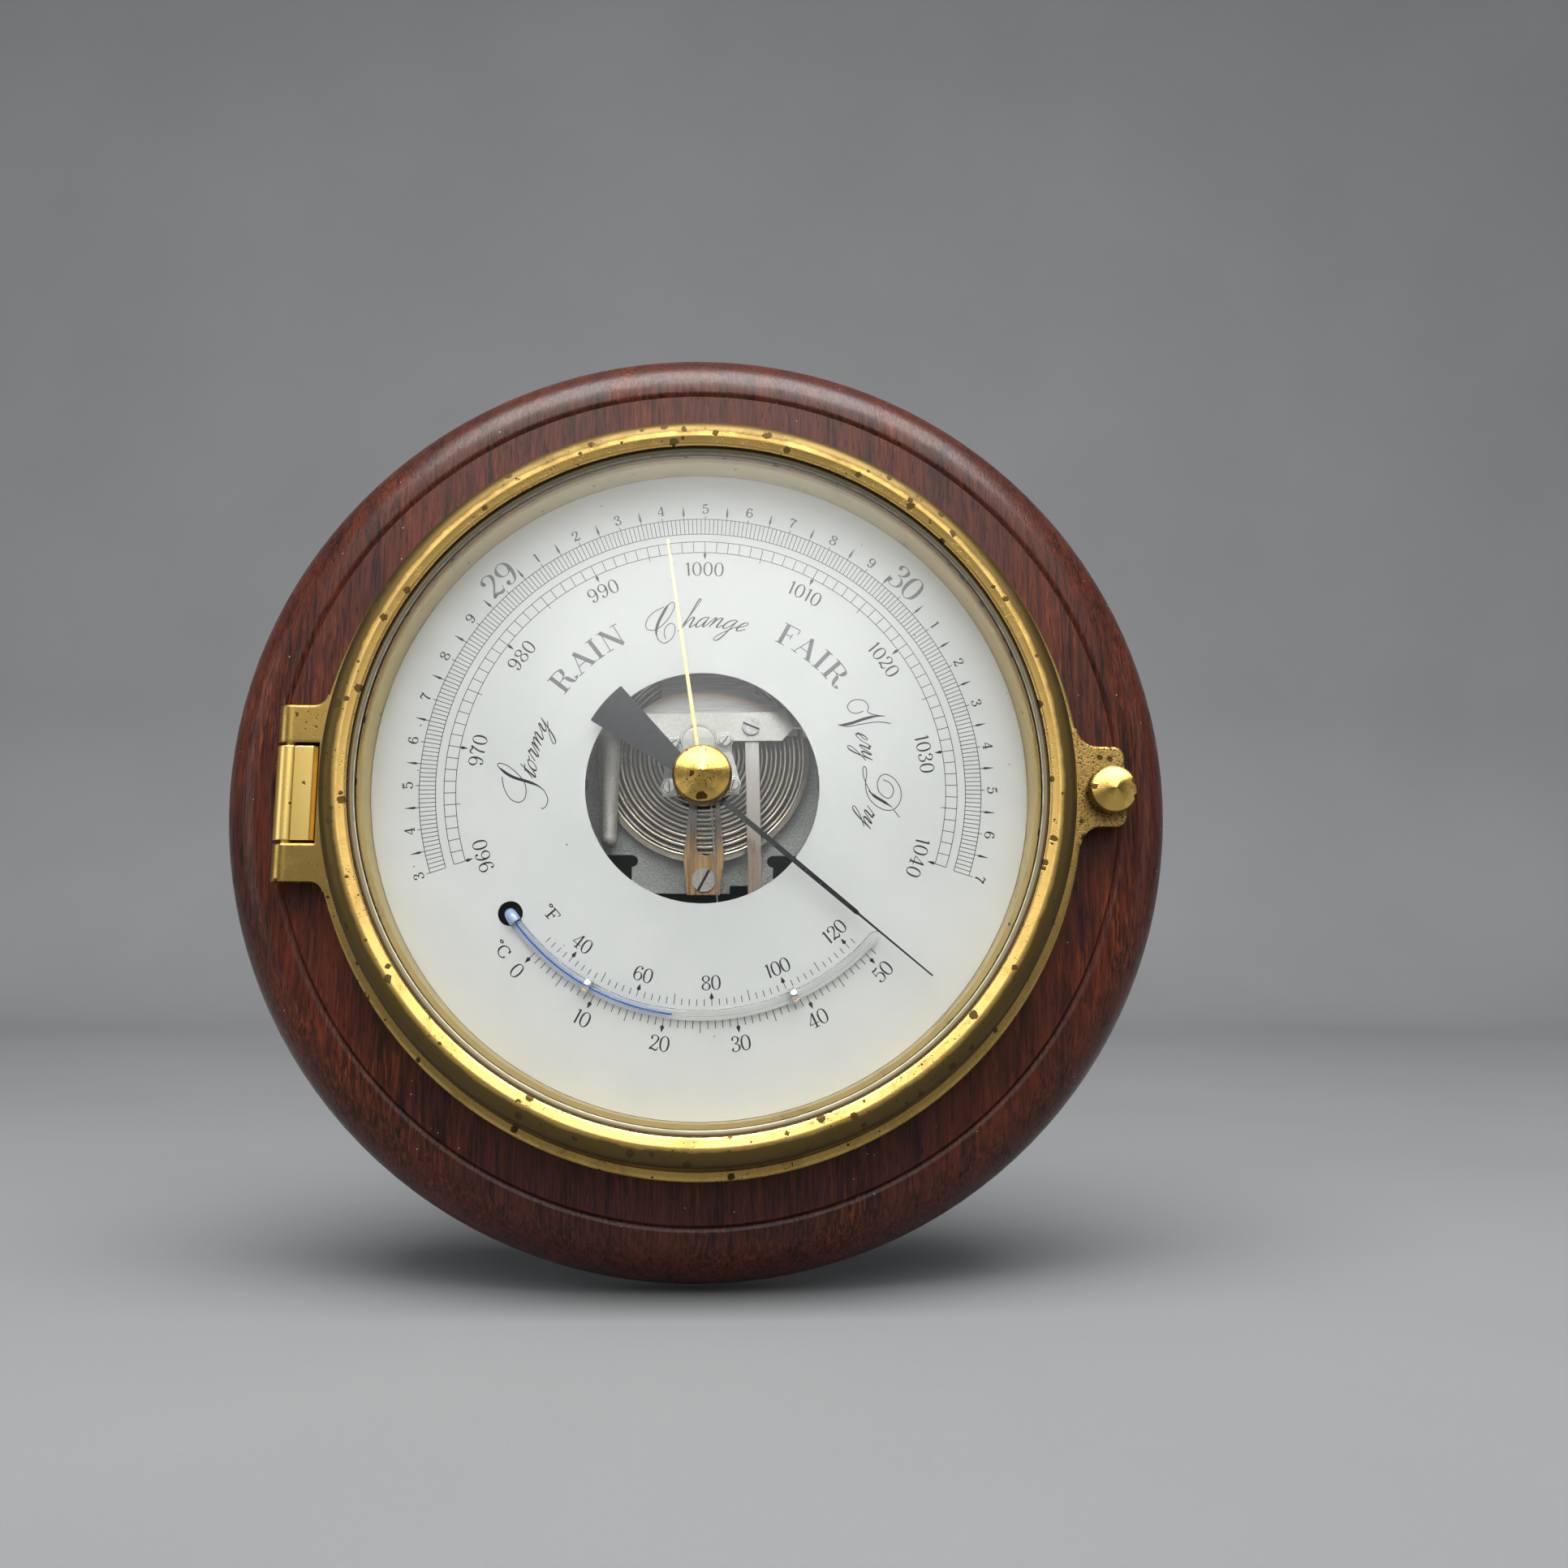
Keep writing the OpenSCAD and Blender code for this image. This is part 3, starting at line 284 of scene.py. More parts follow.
feed(shader, Base_Color=tone, Roughness=between(tree, fine, 0, 1, 0.38, 0.28),
     Coat_Weight=between(tree, patch, 0, 1, 0.26, 0.16), Normal=bump(tree, relief, 0.05, 0.5),
     Coat_Normal=bump(tree, relief, 0.03, 0.25))
even_shading(joined(merged_copy("turned_plinth", "wood_plinth", wood), "case", "mahogany",
                    "wood_plinth", sharp=24))


# Hanger and its screws, at the back.
# A pressed brass plate with a keyhole, let into the wood and held by two countersunk screws. Two more
# come up through the wood into the hinge block.
scuffs, given, result = new_group("scuffs", [("Scale", "Float")], [("Lines", "Float")])
first = noise(scuffs, given["Scale"], 3, 0.5, stretch=(1, 1, 0.04), turn=(0, 0.3, 0))
second = noise(scuffs, given["Scale"], 3, 0.5, stretch=(0.05, 1, 1), turn=(0, 0.5, 0))
feed(result, Lines=maths(scuffs, "MAXIMUM", between(scuffs, first, 0.65, 0.75),
                         between(scuffs, second, 0.66, 0.76)))


def scratches(tree, scale=5200.0):
    return add_node(tree, "Group", {"Scale": scale}, node_tree=scuffs).outputs["Lines"]


def plus(tree, first, second):
    return maths(tree, "ADD", first, second)


tarnish, given, result = new_group("tarnish", [
    ("Bright", "Color"), ("Dull", "Color"), ("Spots", "Color"), ("Amount", "Float"), ("Pitting", "Float")],
    [("Color", "Color"), ("Roughness", "Float"), ("Height", "Float")])
tree = tarnish
cloud = noise(tree, 75, 4, 0.6, 0.4)
mottle = noise(tree, 520, 3, 0.65)
film = between(tree, plus(tree, times(tree, mottle, 0.5), plus(tree, cloud, given["Amount"])), 0.95, 1.25)
distance, size = cells(tree, 430)
reach = times(tree, maths(tree, "POWER", size, 4.0), 0.38)
ragged = plus(tree, distance, times(tree, minus(tree, noise(tree, 2400, 2), 0.5), 0.35))
blot = maths(tree, "LESS_THAN", ragged, times(tree, reach, given["Pitting"]))
freckle = times(tree, between(tree, noise(tree, 1900, 2, 0.5), 0.62, 0.7),
                times(tree, given["Pitting"], between(tree, cloud, 0.45, 0.62)))
dark = maths(tree, "MAXIMUM", blot, freckle)
tone = blend(tree, film, given["Bright"], given["Dull"])
feed(result, Color=blend(tree, times(tree, dark, 0.93), tone, given["Spots"]),
     Roughness=plus(tree, between(tree, film, 0, 1, 0.0, 0.12), times(tree, dark, 0.25)),
     Height=minus(tree, times(tree, mottle, 0.04), dark))


def measure(tree, axis):
    """How far a place lies to the right (0), into the wall (1) or up (2), in metres."""
    return add_node(tree, "SeparateXYZ", {0: add_node(tree, "TexCoord").outputs["Object"]}).outputs[axis]


def from_axis(tree, height=0):
    """How far a place lies from an axis out of the wall, at a height above the dial's middle."""
    flat = stretched(tree, (1, 0, 1), shift=(0, 0, -height))
    return add_node(tree, "VectorMath", {0: flat}, operation="LENGTH").outputs["Value"]


def aged_brass(name, bright, dull, roughness, amount, pitting, relief=0.04, round_edge=0.25,
               sides=0.0, sand=0.0, slope=0.0):
    """Brass with a film of tarnish, dark freckles and scratches, and softened edges. It may be dark in
    its knurling (sides), rough from the sand mould by the latch (sand), or dark past a radius (slope)."""
    material, tree, shader = new_material(name, Metallic=1.0)
    spots = (0.045, 0.026, 0.01)
    old = add_node(tree, "Group", {"Bright": bright, "Dull": dull, "Spots": spots, "Amount": amount,
                                   "Pitting": pitting}, node_tree=tarnish)
    lines = scratches(tree, 4200)
    tone = old.outputs["Color"]
    if sides:
        dark_tone = add_node(tree, "Attribute", attribute_name="dark_tone").outputs["Fac"]
        tone = blend(tree, times(tree, between(tree, dark_tone, 0.25, 0.75), sides), tone, (0.05, 0.03, 0.011))
    rough = plus(tree, old.outputs["Roughness"], times(tree, lines, 0.05))
    if slope:
        away = plus(tree, from_axis(tree), times(tree, noise(tree, 220, 3), 0.0012))
        outer = between(tree, away, slope, slope + 0.0012)
        tone = blend(tree, times(tree, outer, 0.95), tone, (0.085, 0.058, 0.022))
        rough = plus(tree, rough, times(tree, outer, 0.24))
    feed(shader, Base_Color=tone, Roughness=plus(tree, rough, roughness))
    height = minus(tree, old.outputs["Height"], times(tree, lines, 0.03))
    if sand:
        pits = times(tree, between(tree, noise(tree, 1900, 3, 0.75), 0.47, 0.58),
                     between(tree, measure(tree, 0), 0.083, 0.0865, 0.0, sand))
        height = minus(tree, height, times(tree, pits, 2.5))
        feed(shader, Base_Color=blend(tree, times(tree, pits, 0.82), tone, spots))
    feed(shader, Normal=bump(tree, height, relief, 0.35, round_edge))
    return material


def dress(material, *nodes):
    """Gives CAD pieces their material."""
    for node in nodes:
        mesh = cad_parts[node].data
        mesh.materials.clear()
        mesh.materials.append(material)


plate_brass = aged_brass("plate_brass", (0.62, 0.44, 0.17), (0.3, 0.2, 0.07), 0.34, 0.1, 0.8)
dress(plate_brass, "hanger_plate", "hanger_screws", "block_screws", "case_screws")


# Instrument case.
# A spun brass cup let into the plinth. Its rim stands up round the dial in aged brass, and below the
# dial its inside is painted near-black as shade, with specks of dust over the painted shade.
case_finish, tree, shader = new_material("case_finish")
inside = between(tree, measure(tree, 1), -0.0249, -0.0245)
old = add_node(tree, "Group", {"Bright": (0.68, 0.53, 0.24), "Dull": (0.48, 0.365, 0.15),
                               "Spots": (0.1, 0.075, 0.04), "Amount": 0.15, "Pitting": 0.5},
               node_tree=tarnish).outputs
# Below the dial the inside is painted near-black as shade, with real dust specks on top.
interior_shade = blend(tree, noise(tree, 160, 4), (0.004, 0.004, 0.005), (0.016, 0.0155, 0.016))
interior_shade = blend(tree, dusty(tree, 0.22), interior_shade, (0.42, 0.41, 0.38))
feed(shader, Base_Color=blend(tree, inside, old["Color"], interior_shade),
     Metallic=between(tree, inside, 0, 1, 0.5, 0.0), Roughness=between(tree, inside, 0, 1, 0.42, 0.6),
     Normal=bump(tree, old["Height"], 0.04, 0.5))
dress(case_finish, "instrument_case")


# Dial.
# A disc of sheet aluminium in cool white enamel, with a faint grey mottle and a few dark specks, on
# three posts. Its open centre shows the movement.
enamel, tree, shader = new_material("dial_enamel", Roughness=0.42, Coat_Weight=0.25, Coat_Roughness=0.3)
cloud = between(tree, noise(tree, 60, 4), 0.3, 0.7)
mist = between(tree, noise(tree, 2600, 2), 0.3, 0.7)
white = blend(tree, cloud, (0.84, 0.855, 0.855), (0.89, 0.9, 0.895))
white = blend(tree, times(tree, mist, 0.12), white, (0.66, 0.67, 0.665))
distance, chosen = cells(tree, 330)
fleck = times(tree, maths(tree, "LESS_THAN", distance, 0.075), maths(tree, "LESS_THAN", chosen, 0.07))
feed(shader, Base_Color=blend(tree, times(tree, fleck, 0.75), white, (0.1, 0.085, 0.07)),
     Normal=bump(tree, noise(tree, 1800, 3), 0.01, 0.5))
dress(enamel, "dial")


# Printing on the dial.
# Black and grey enamel ink, printed through a screen and a few hundredths of a millimetre thick: two
# ladders for inches of mercury and millibars, thermometer marks, upright numerals and script words.
def smooth_line(points, steps=5):
    """A line carried smoothly through its points."""
    ends = [points[0] * 2 - points[1]] + points + [points[-1] * 2 - points[-2]]
    if (points[0] - points[-1]).length < 1e-6:
        ends[0], ends[-1] = points[-2], points[1]
    line = []
    for a, b, c, d in zip(ends, ends[1:], ends[2:], ends[3:]):
        for i in range(steps):
            t = i / steps
            line.append(0.5 * (2 * b + (c - a) * t + (2 * a - 5 * b + 4 * c - d) * t * t
                               + (3 * b - a - 3 * c + d) * t ** 3))
    return line + [points[-1]]


def at(x, y, h):
    """A place on the barometer's face: right, up and out from the wall, in millimetres."""
    return Vector((x, -h, y)) / 1000


PRINT_H = 25.02


def on_dial(point):
    """A place on the dial's face, where the ink lies."""
    return at(point.x, point.y, PRINT_H)


def ink_line(bm, line, widths, place=on_dial):
    """A printed line of changing width: its left edge, swept across to its right edge."""
    sides = []
    for i, point in enumerate(line):
        way = line[min(i + 1, len(line) - 1)] - line[max(i - 1, 0)]
        side = Vector((-way.y, way.x)).normalized() * widths[i] / 2
        sides.append((point + side, point - side))
    left, right = strip(bm, [place(a) for a, b in sides])
    over = {tuple(v.co): place(b) for v, (a, b) in zip(left, sides)}
    for corner in right:
        corner.co = over[tuple(corner.co)]


# Each sign is drawn by pen strokes: c a curved stroke, thick where it runs upright; h a curved one,
# thick where it lies flat; k a thick and t a thin straight one; o a round drop; s a slanted script
# stroke, thick on its way down; p the same and f a fine one, both drawn with their slant. The number in
# front is the sign's width. Numerals and capitals are one unit high, and so are the small script letters.
SIGNS = dict(sign.split(maxsplit=1) for sign in """
0 .6|c .30,1 .13,.86 .07,.5 .13,.14 .30,0 .47,.14 .53,.5 .47,.86 .30,1;
1 .38|k .21,1 .21,0|t .07,.87 .21,.97;
2 .58|c .10,.76 .15,.92 .29,1 .45,.91 .48,.73 .37,.48 .17,.21 .06,.04|h .06,.04 .2,.10 .38,.02 .5,.07
  .54,.24|o .13,.76;
3 .57|c .11,.81 .16,.94 .28,1 .42,.92 .45,.77 .37,.6 .22,.53|c .22,.53 .4,.47 .5,.28 .43,.08 .27,0 .13,.05
  .08,.17|o .14,.8|o .11,.19;
4 .62|t .4,1 .04,.27|t .04,.27 .58,.27|k .4,1 .4,0|t .26,.01 .54,.01;
5 .57|h .12,.97 .27,.92 .45,.99|t .12,.97 .1,.54|c .1,.54 .2,.62 .32,.63 .46,.52 .5,.3 .42,.08 .26,0 .13,.05
  .08,.16|o .12,.17;
6 .6|c .46,.84 .42,.96 .32,1 .17,.88 .08,.5 .13,.14 .31,0 .47,.1 .53,.3 .46,.5 .31,.58 .17,.5 .1,.36|o
  .43,.85;
7 .56|t .06,.76 .07,.96|h .07,.93 .2,1 .36,.9 .52,.98|c .52,.98 .34,.62 .25,.3 .24,0;
8 .6|c .3,1 .15,.93 .1,.77 .18,.62 .32,.52 .46,.42 .52,.25 .45,.07 .3,0 .14,.07 .08,.25 .16,.42 .3,.54
  .42,.64 .48,.78 .43,.93 .3,1;
9 .6|c .14,.16 .18,.04 .28,0 .43,.12 .52,.5 .47,.86 .29,1 .13,.9 .07,.7 .14,.5 .29,.42 .43,.5 .5,.64|o
  .17,.15;
A .8|t .13,.01 .42,1|k .39,.98 .7,.01|t .22,.34 .58,.34|t .02,.01 .25,.01|t .54,.01 .84,.01;
C .74|c .66,.72 .58,.92 .4,1 .18,.84 .1,.5 .18,.16 .4,0 .58,.08 .68,.28|t .66,.98 .66,.72;
F .6|k .2,1 .2,0|t .05,.01 .37,.01|t .05,.99 .64,.99|t .64,1 .62,.74|t .2,.52 .46,.52|t .46,.66 .46,.38;
I .38|k .19,1 .19,0|t .04,.99 .34,.99|t .04,.01 .34,.01;
N .86|t .17,0 .17,1|k .15,1 .7,0|t .7,0 .7,1|t .03,.99 .2,.99|t .04,.01 .3,.01|t .57,.99 .83,.99;
R .8|k .2,1 .2,0|t .04,.99 .34,.99|t .04,.01 .36,.01|c .2,.985 .42,.98 .58,.9 .6,.75 .54,.59 .4,.52 .2,.5|c
  .38,.52 .52,.44 .57,.2 .65,.02 .76,.04 .79,.14;
* .26|c .12,1 .03,.9 .12,.78 .21,.9 .12,1;
a .8|s .6,.8 .42,1 .16,.75 .08,.3 .2,0 .4,.12 .6,.8|s .62,1 .58,.2 .66,0 .84,.28;
G 3.2|f 2.16,2.4 1.21,2.16 .42,1.68 .02,1 .16,.53 .74,.35 1.47,.58 2.32,1.16 3.05,1.95 3.26,2.47 3,2.68
  2.47,2.37|p 2.72,2.55 2.47,2.37 1.89,1.74 1.21,.89 .84,.05 .84,-.68|f .84,-.6 1.21,-1.1 1.63,-1.13
  2.21,-.84 2.63,-.26 2.76,.26 2.58,.58 2.21,.6 1.74,.21 1.55,-.37 1.6,-.79;
e .62|s .0,.28 .34,.5 .5,.82 .38,1 .2,.82 .12,.4 .24,0 .44,.06 .64,.32;
g .84|s .6,.8 .42,1 .16,.75 .08,.3 .2,0 .4,.12 .6,.8|s .62,1 .6,-.6 .48,-1.25 .28,-1.3 .2,-1 .42,-.4
  .86,.28;
h .86|s .0,.1 .22,1.4 .36,2.5 .3,2.8 .2,2.5 .14,0|s .16,.15 .34,.85 .5,1 .6,.8 .58,.22 .66,0 .88,.28;
n .96|s .0,.3 .14,.9 .22,1 .27,.8 .22,0|s .24,.15 .42,.85 .6,1 .68,.8 .66,.22 .76,0 .98,.28;
m 1.34|s .0,.3 .14,.9 .22,1 .27,.8 .22,0|s .24,.15 .42,.85 .56,1 .64,.8 .6,0|s .62,.15 .8,.85 .94,1 1.02,.8
  1,.22 1.1,0 1.34,.28;
o .72|s .4,1 .16,.76 .1,.32 .24,0 .46,.14 .56,.6 .42,1 .54,.84 .76,.95;
r .64|s .0,.25 .2,1.02 .27,1.12 .32,.94 .48,.98 .48,.75 .42,.2 .5,0 .68,.28;
S 3.05|f 3.6,3.3 2.35,3.1 1.25,2.5 .86,1.7 1.17,1.1 2.03,.9 2.97,1.1 3.9,1.8 4.7,2.7 5,3.5 4.77,3.7
  4.4,3.4|p 4.6,3.6 4.4,3.4 3.8,2.7 3.36,1.9 2.97,.8 2.5,-.25 1.9,-.95|f 1.95,-.9 1.1,-1.25 .4,-1.1 .05,-.7
  .2,-.6;
t .46|s .0,.28 .26,1.2|s .34,1.65 .2,.2 .28,0 .5,.28|s .06,1.12 .56,1.2;
V 3.15|f 1.53,1.77 1.48,1.05 1.05,.48 .4,.4 0,.97 .11,1.77 .65,2.42 1.37,2.5 1.8,2.15 2.34,2.58 3.06,3.63|p
  2.94,3.47 2.58,2.58 2.34,1.37 2.2,.08 1.97,-.89 1.73,-1.4|f 1.73,-1.4 2.34,-.56 2.74,.89 3.3,2.66
  4.06,3.87;
D 4.1|f 1.48,1.9 1.89,2.66 2.65,3 3.39,2.7 3.47,2.15 2.85,1.45 1.89,1.26 1.08,1.66 .92,2.3 1.4,3.1 2.3,3.68
  3.34,3.8 4.2,3.5 4.8,2.8 4.74,1.8 4.15,.85 3.34,.24 2.45,0 1.65,0 .9,.13 .27,.1 0,-.1 .35,-.26 1.16,-.2
  2.1,.13 2.8,.5|p 4.5,2.77 3.9,1.9 3.34,1 2.7,.3|f 4.8,2.95 5.65,3.55;
y .86|s .0,.3 .14,.9 .2,1 .26,.8 .22,.3 .34,.02 .54,.3 .64,1|s .64,1 .6,-.6 .48,-1.25 .28,-1.3 .2,-1
  .44,-.38 .88,.28
""".split(";"))
SIGNS[" "] = ".55"


def spot(radius, angle):
    """A place round the dial, its angle clockwise from straight up."""
    return Vector((math.sin(math.radians(angle)), math.cos(math.radians(angle)))) * radius


def write(bm, words, radius, angle, height, thick, thin=0.17, wide=1.2, spread=1.0, inward=False):
    """Words set round the dial about one angle, their feet on a circle and their heads outward or inward."""
    drawn = [SIGNS[sign].split("|") for sign in words]
    widths = [float(sign[0]) * height * (1 if "f" in sign[-1] else wide * spread) for sign in drawn]
    way = -1 if inward else 1
    run = -sum(widths) / 2
    for sign, width in zip(drawn, widths):
        turn = angle + way * math.degrees((run + width / 2) / radius)
        up = spot(way, turn)
        right = Vector((up.y, -up.x))

        def place(point):
            return on_dial(spot(radius, turn) + right * (point.x - width / 2) + up * point.y)

        for stroke in sign[1:]:
            kind, *pairs = stroke.split()
            points = [Vector([float(n) * height for n in pair.split(",")]) for pair in pairs]
            if kind not in "fp":
                lean = 0.67 if kind == "s" else 0
                points = [Vector((p.x * wide + p.y * lean, p.y)) for p in points]
            if kind == "o":
                drop = points[0]
                points = [drop - Vector((thick * 0.55, 0)), drop, drop + Vector((thick * 0.55, 0))]
                ink_line(bm, points, [thick * 0.3, thick * 1.15, thick * 0.3], place)
                continue
            line = points if kind in "kt" else smooth_line(points)
            weights = []
            for i in range(len(line)):
                step = (line[min(i + 1, len(line) - 1)] - line[max(i - 1, 0)]).normalized()
                press = min(1, 4 * i / len(line), 4 * (len(line) - 1 - i) / len(line))
                share = {"k": 1, "t": 0, "f": 0, "c": abs(step.y) ** 3, "h": abs(step.x) ** 3 * 0.9,
                         "s": max(0, -step.y) ** 2 * press, "p": 1.7 * press * press}[kind]
                weights.append(thin + (thick - thin) * share)
            ink_line(bm, line, weights, place)
        run += width


def mark(bm, angle, low, high, width=0.17):
    """A straight mark along the dial's radius."""
    ends = [spot(low, angle), spot(high, angle)]
    ink_line(bm, ends, [width, width])


def arrow(bm, angle, tail, neck, tip, width):
    """A mark that ends in an arrowhead."""
    mark(bm, angle, tail, neck, 0.15)
    ends = [spot(neck, angle), spot(neck + (tip - neck) * 0.25, angle), spot(tip, angle)]
    ink_line(bm, ends, [0.15, width, 0.06])


def circle_line(bm, radius, start, stop, width=0.15):
    """A thin line round the dial."""
    count = int(abs(stop - start) / 1.5)
    line = [spot(radius, start + (stop - start) * i / count) for i in range(count + 1)]
    ink_line(bm, line, [width] * len(line))


def printed(name, bm, ink):
    """Gives the ink its few hundredths of a millimetre, and lays it on the dial."""
    bm.normal_update()
    bmesh.ops.reverse_faces(bm, faces=[face for face in bm.faces if face.normal.y > 0])
    bmesh.ops.solidify(bm, geom=bm.faces, thickness=0.000018)
    joined(new_object(name, bm, ink), "case", "hand_black")


def screen_ink(name, roughness, dark, light):
    """Enamel ink, a little thinner in patches."""
    material, tree, shader = new_material(name, Roughness=roughness)
    feed(shader, Base_Color=blend(tree, between(tree, noise(tree, 2200, 3), 0.45, 0.75), dark, light))
    return material


black_ink = screen_ink("black_ink", 0.45, (0.01, 0.01, 0.012), (0.045, 0.046, 0.05))
grey_ink = screen_ink("grey_ink", 0.5, (0.2, 0.205, 0.215), (0.3, 0.305, 0.315))

# The inches run from 28.3 to 30.7 and the millibars from 960 to 1040, each on a ladder of two circles
# with its middle straight up.
TENTH_STEP, MBAR_STEP = 9.03, 2.705
INCH_IN, INCH_OUT, MBAR_IN, MBAR_OUT = 59.6, 63.2, 55.1, 57.7
bm = bmesh.new()
for radius in (INCH_IN, INCH_OUT):
    circle_line(bm, radius, -12 * TENTH_STEP, 12 * TENTH_STEP)
for radius in (MBAR_IN, MBAR_OUT):
    circle_line(bm, radius, -40 * MBAR_STEP, 40 * MBAR_STEP)
for i in range(-120, 121):
    mark(bm, i * TENTH_STEP / 10, INCH_IN, 64.0 if i % 10 == 0 else INCH_OUT, 0.15)
for i in range(-115, 120, 10):
    ends = [spot(r, i * TENTH_STEP / 10) for r in (INCH_OUT, 63.9, 64.4, 66.4)]
    ink_line(bm, ends, [0.12, 0.16, 0.55, 0.06])
for i in range(-40, 41):
    mark(bm, i * MBAR_STEP, 54.1 if i % 5 == 0 else MBAR_IN, MBAR_OUT, 0.15)
for i in range(-40, 41, 10):
    arrow(bm, i * MBAR_STEP, MBAR_IN, 55.05, 53.4, 0.75)
printed("barometer_scales", bm, black_ink)


def celsius(degrees):
    """The angle of a mark on the thermometer's outer scale."""
    return 180 + (25 - degrees) * 1.77


def fahrenheit(degrees):
    """The angle of a mark on its inner scale."""
    return 180 + (77 - degrees) * 0.983


OUTER_FOOT, INNER_FOOT = 52.2, 48.9
bm = bmesh.new()
for degrees in range(0, 52):
    if degrees % 10 == 0:
        arrow(bm, celsius(degrees), OUTER_FOOT, 53.7, 55.3, 0.95)
    else:
        mark(bm, celsius(degrees), OUTER_FOOT, 54.8 if degrees % 5 == 0 else 53.9)
for degrees in range(32, 124, 2):
    if degrees % 20 == 0:
        arrow(bm, fahrenheit(degrees), INNER_FOOT, 47.6, 46.1, 0.95)
    else:
        mark(bm, fahrenheit(degrees), INNER_FOOT, 46.6 if degrees % 20 == 10 else 47.5)
printed("thermometer_marks", bm, black_ink)

bm = bmesh.new()
for i in range(-40, 41, 10):
    write(bm, str(1000 + i), 49.55, i * MBAR_STEP, 3.2, 0.4, spread=1.07)
for i in range(-12, 13):
    tenth = (295 + i) % 10
    if tenth:
        write(bm, str(tenth), 64.65, i * TENTH_STEP, 2.2, 0.36, wide=1.3)
for degrees in range(0, 51, 10):
    write(bm, str(degrees), 59.3, celsius(degrees), 3.25, 0.4, inward=True)
for degrees in range(40, 121, 20):
    write(bm, str(degrees), 45.5, fahrenheit(degrees), 3.1, 0.4, inward=True)
write(bm, "*F", 45.1, 229.3, 2.6, 0.42, 0.22, wide=1.5, inward=True)
write(bm, "*C", 58.3, 229.9, 2.6, 0.42, 0.22, wide=1.5, inward=True)
for words, radius, angle, height in (("Ghange", 37.2, -3.3, 2.35), ("Stormy", 37.5, -83.3, 2.2),
                                     ("Very Dry", 36.9, 81, 2.1)):
    write(bm, words, radius, angle, height, 0.45, 0.19, wide=1.5)
printed("black_lettering", bm, black_ink)

bm = bmesh.new()
write(bm, "29", 64.4, -44.6, 5.6, 0.85, 0.15, wide=1.25)
write(bm, "30", 64.6, 44.0, 5.6, 0.85, 0.15, wide=1.25)
write(bm, "RAIN", 37.75, -41.9, 5.0, 0.95, 0.22, wide=1.32, spread=1.05)
write(bm, "FAIR", 37.8, 39.2, 5.0, 0.95, 0.22, wide=1.34, spread=1.08)
printed("grey_lettering", bm, grey_ink)


# Thermometer.
# A glass tube bent to the dial's curve, with a thread of blue spirit in its fine bore. Its end turns down
# through a hole in the dial to the bulb behind, and two bent clips of bright tinplate hold it.
THERM_R, TUBE_H, BEND_ANGLE = 51.0, 26.45, 232.9


def on_tube(angle):
    """A place on the thermometer's curved middle line."""
    there = spot(THERM_R, angle)
    return at(there.x, there.y, TUBE_H)


def domed(bm, rim, radius, way):
    """Closes a round rim with a dome."""
    middle = sum((v.co for edge in rim for v in edge.verts), Vector()) / (2 * len(rim))
    for i in range(1, 5):
        verts, rim = extruded(bm, rim)
        step, last = math.radians(22.5 * i - 2), math.radians(22.5 * i - 24.5)
        away = way.normalized() * radius / 1000 * (math.sin(step) - math.sin(max(last, 0)))
        bmesh.ops.translate(bm, verts=verts, vec=away)
        middle += away
        shrink = math.cos(step) / math.cos(max(last, 0))
        bmesh.ops.scale(bm, verts=verts, vec=(shrink,) * 3, space=Matrix.Translation(-middle))
    bmesh.ops.contextual_create(bm, geom=rim)


def round_rod(bm, radius, start, stop):
    """A rod on the thermometer's curve: a circle spun about the dial's middle, its first end domed."""
    tangent = (on_tube(start + 0.01) - on_tube(start)).to_track_quat("Z", "Y").to_matrix().to_4x4()
    made = bmesh.ops.create_circle(bm, segments=24, radius=radius / 1000,
                                   matrix=Matrix.Translation(on_tube(start)) @ tangent)["verts"]
    rim = bm.edges[:]
    last = bmesh.ops.spin(bm, geom=made + rim, cent=(0, 0, 0), axis=(0, 1, 0), dvec=(0, 0, 0),
                          angle=math.radians(stop - start), steps=60)["geom_last"]
    domed(bm, rim, radius, on_tube(start) - on_tube(start + 0.5))
    bmesh.ops.contextual_create(bm, geom=[edge for edge in last if isinstance(edge, bmesh.types.BMEdge)])


def outward(bm):
    """Turns every face outwards."""
    bmesh.ops.recalc_face_normals(bm, faces=bm.faces)


tube_glass, tree, shader = new_material("tube_glass", Base_Color=(1, 1, 1), Roughness=0.02, IOR=1.2,
                                        Transmission_Weight=1.0)
feed(shader, Normal=bump(tree, noise(tree, 260, 2), 0.02, 0.3))
bm = bmesh.new()
round_rod(bm, 1.4, 131.6, BEND_ANGLE)
outward(bm)
bore = bmesh.new()
round_rod(bore, 0.25, 133.2, BEND_ANGLE)
outward(bore)
bmesh.ops.reverse_faces(bore, faces=bore.faces)
hollow = bpy.data.meshes.new("bore")
bore.to_mesh(hollow)
bore.free()
bm.from_mesh(hollow)
bpy.data.meshes.remove(hollow)
joined(new_object("bent_tube", bm, tube_glass), "case", "tube_glass", "thermometer_tube", sharp=60)

backing, tree, shader = new_material("enamel_backing", Roughness=0.4)
side = plus(tree, measure(tree, 0), times(tree, noise(tree, 300, 2), 0.004))
feed(shader, Base_Color=blend(tree, between(tree, side, -0.008, -0.002), (0.72, 0.82, 0.96),
                              (0.9, 0.91, 0.91)))
bm = bmesh.new()
round_rod(bm, 1.2, 132.6, BEND_ANGLE)
bmesh.ops.bisect_plane(bm, geom=bm.verts[:] + bm.edges[:] + bm.faces[:],
                       plane_co=at(0, 0, TUBE_H - 0.45), plane_no=(0, -1, 0), clear_outer=True)
bmesh.ops.holes_fill(bm, edges=[edge for edge in bm.edges if edge.is_boundary])
outward(bm)
joined(new_object("enamel_backing", bm, backing), "case", "tube_glass", sharp=60)

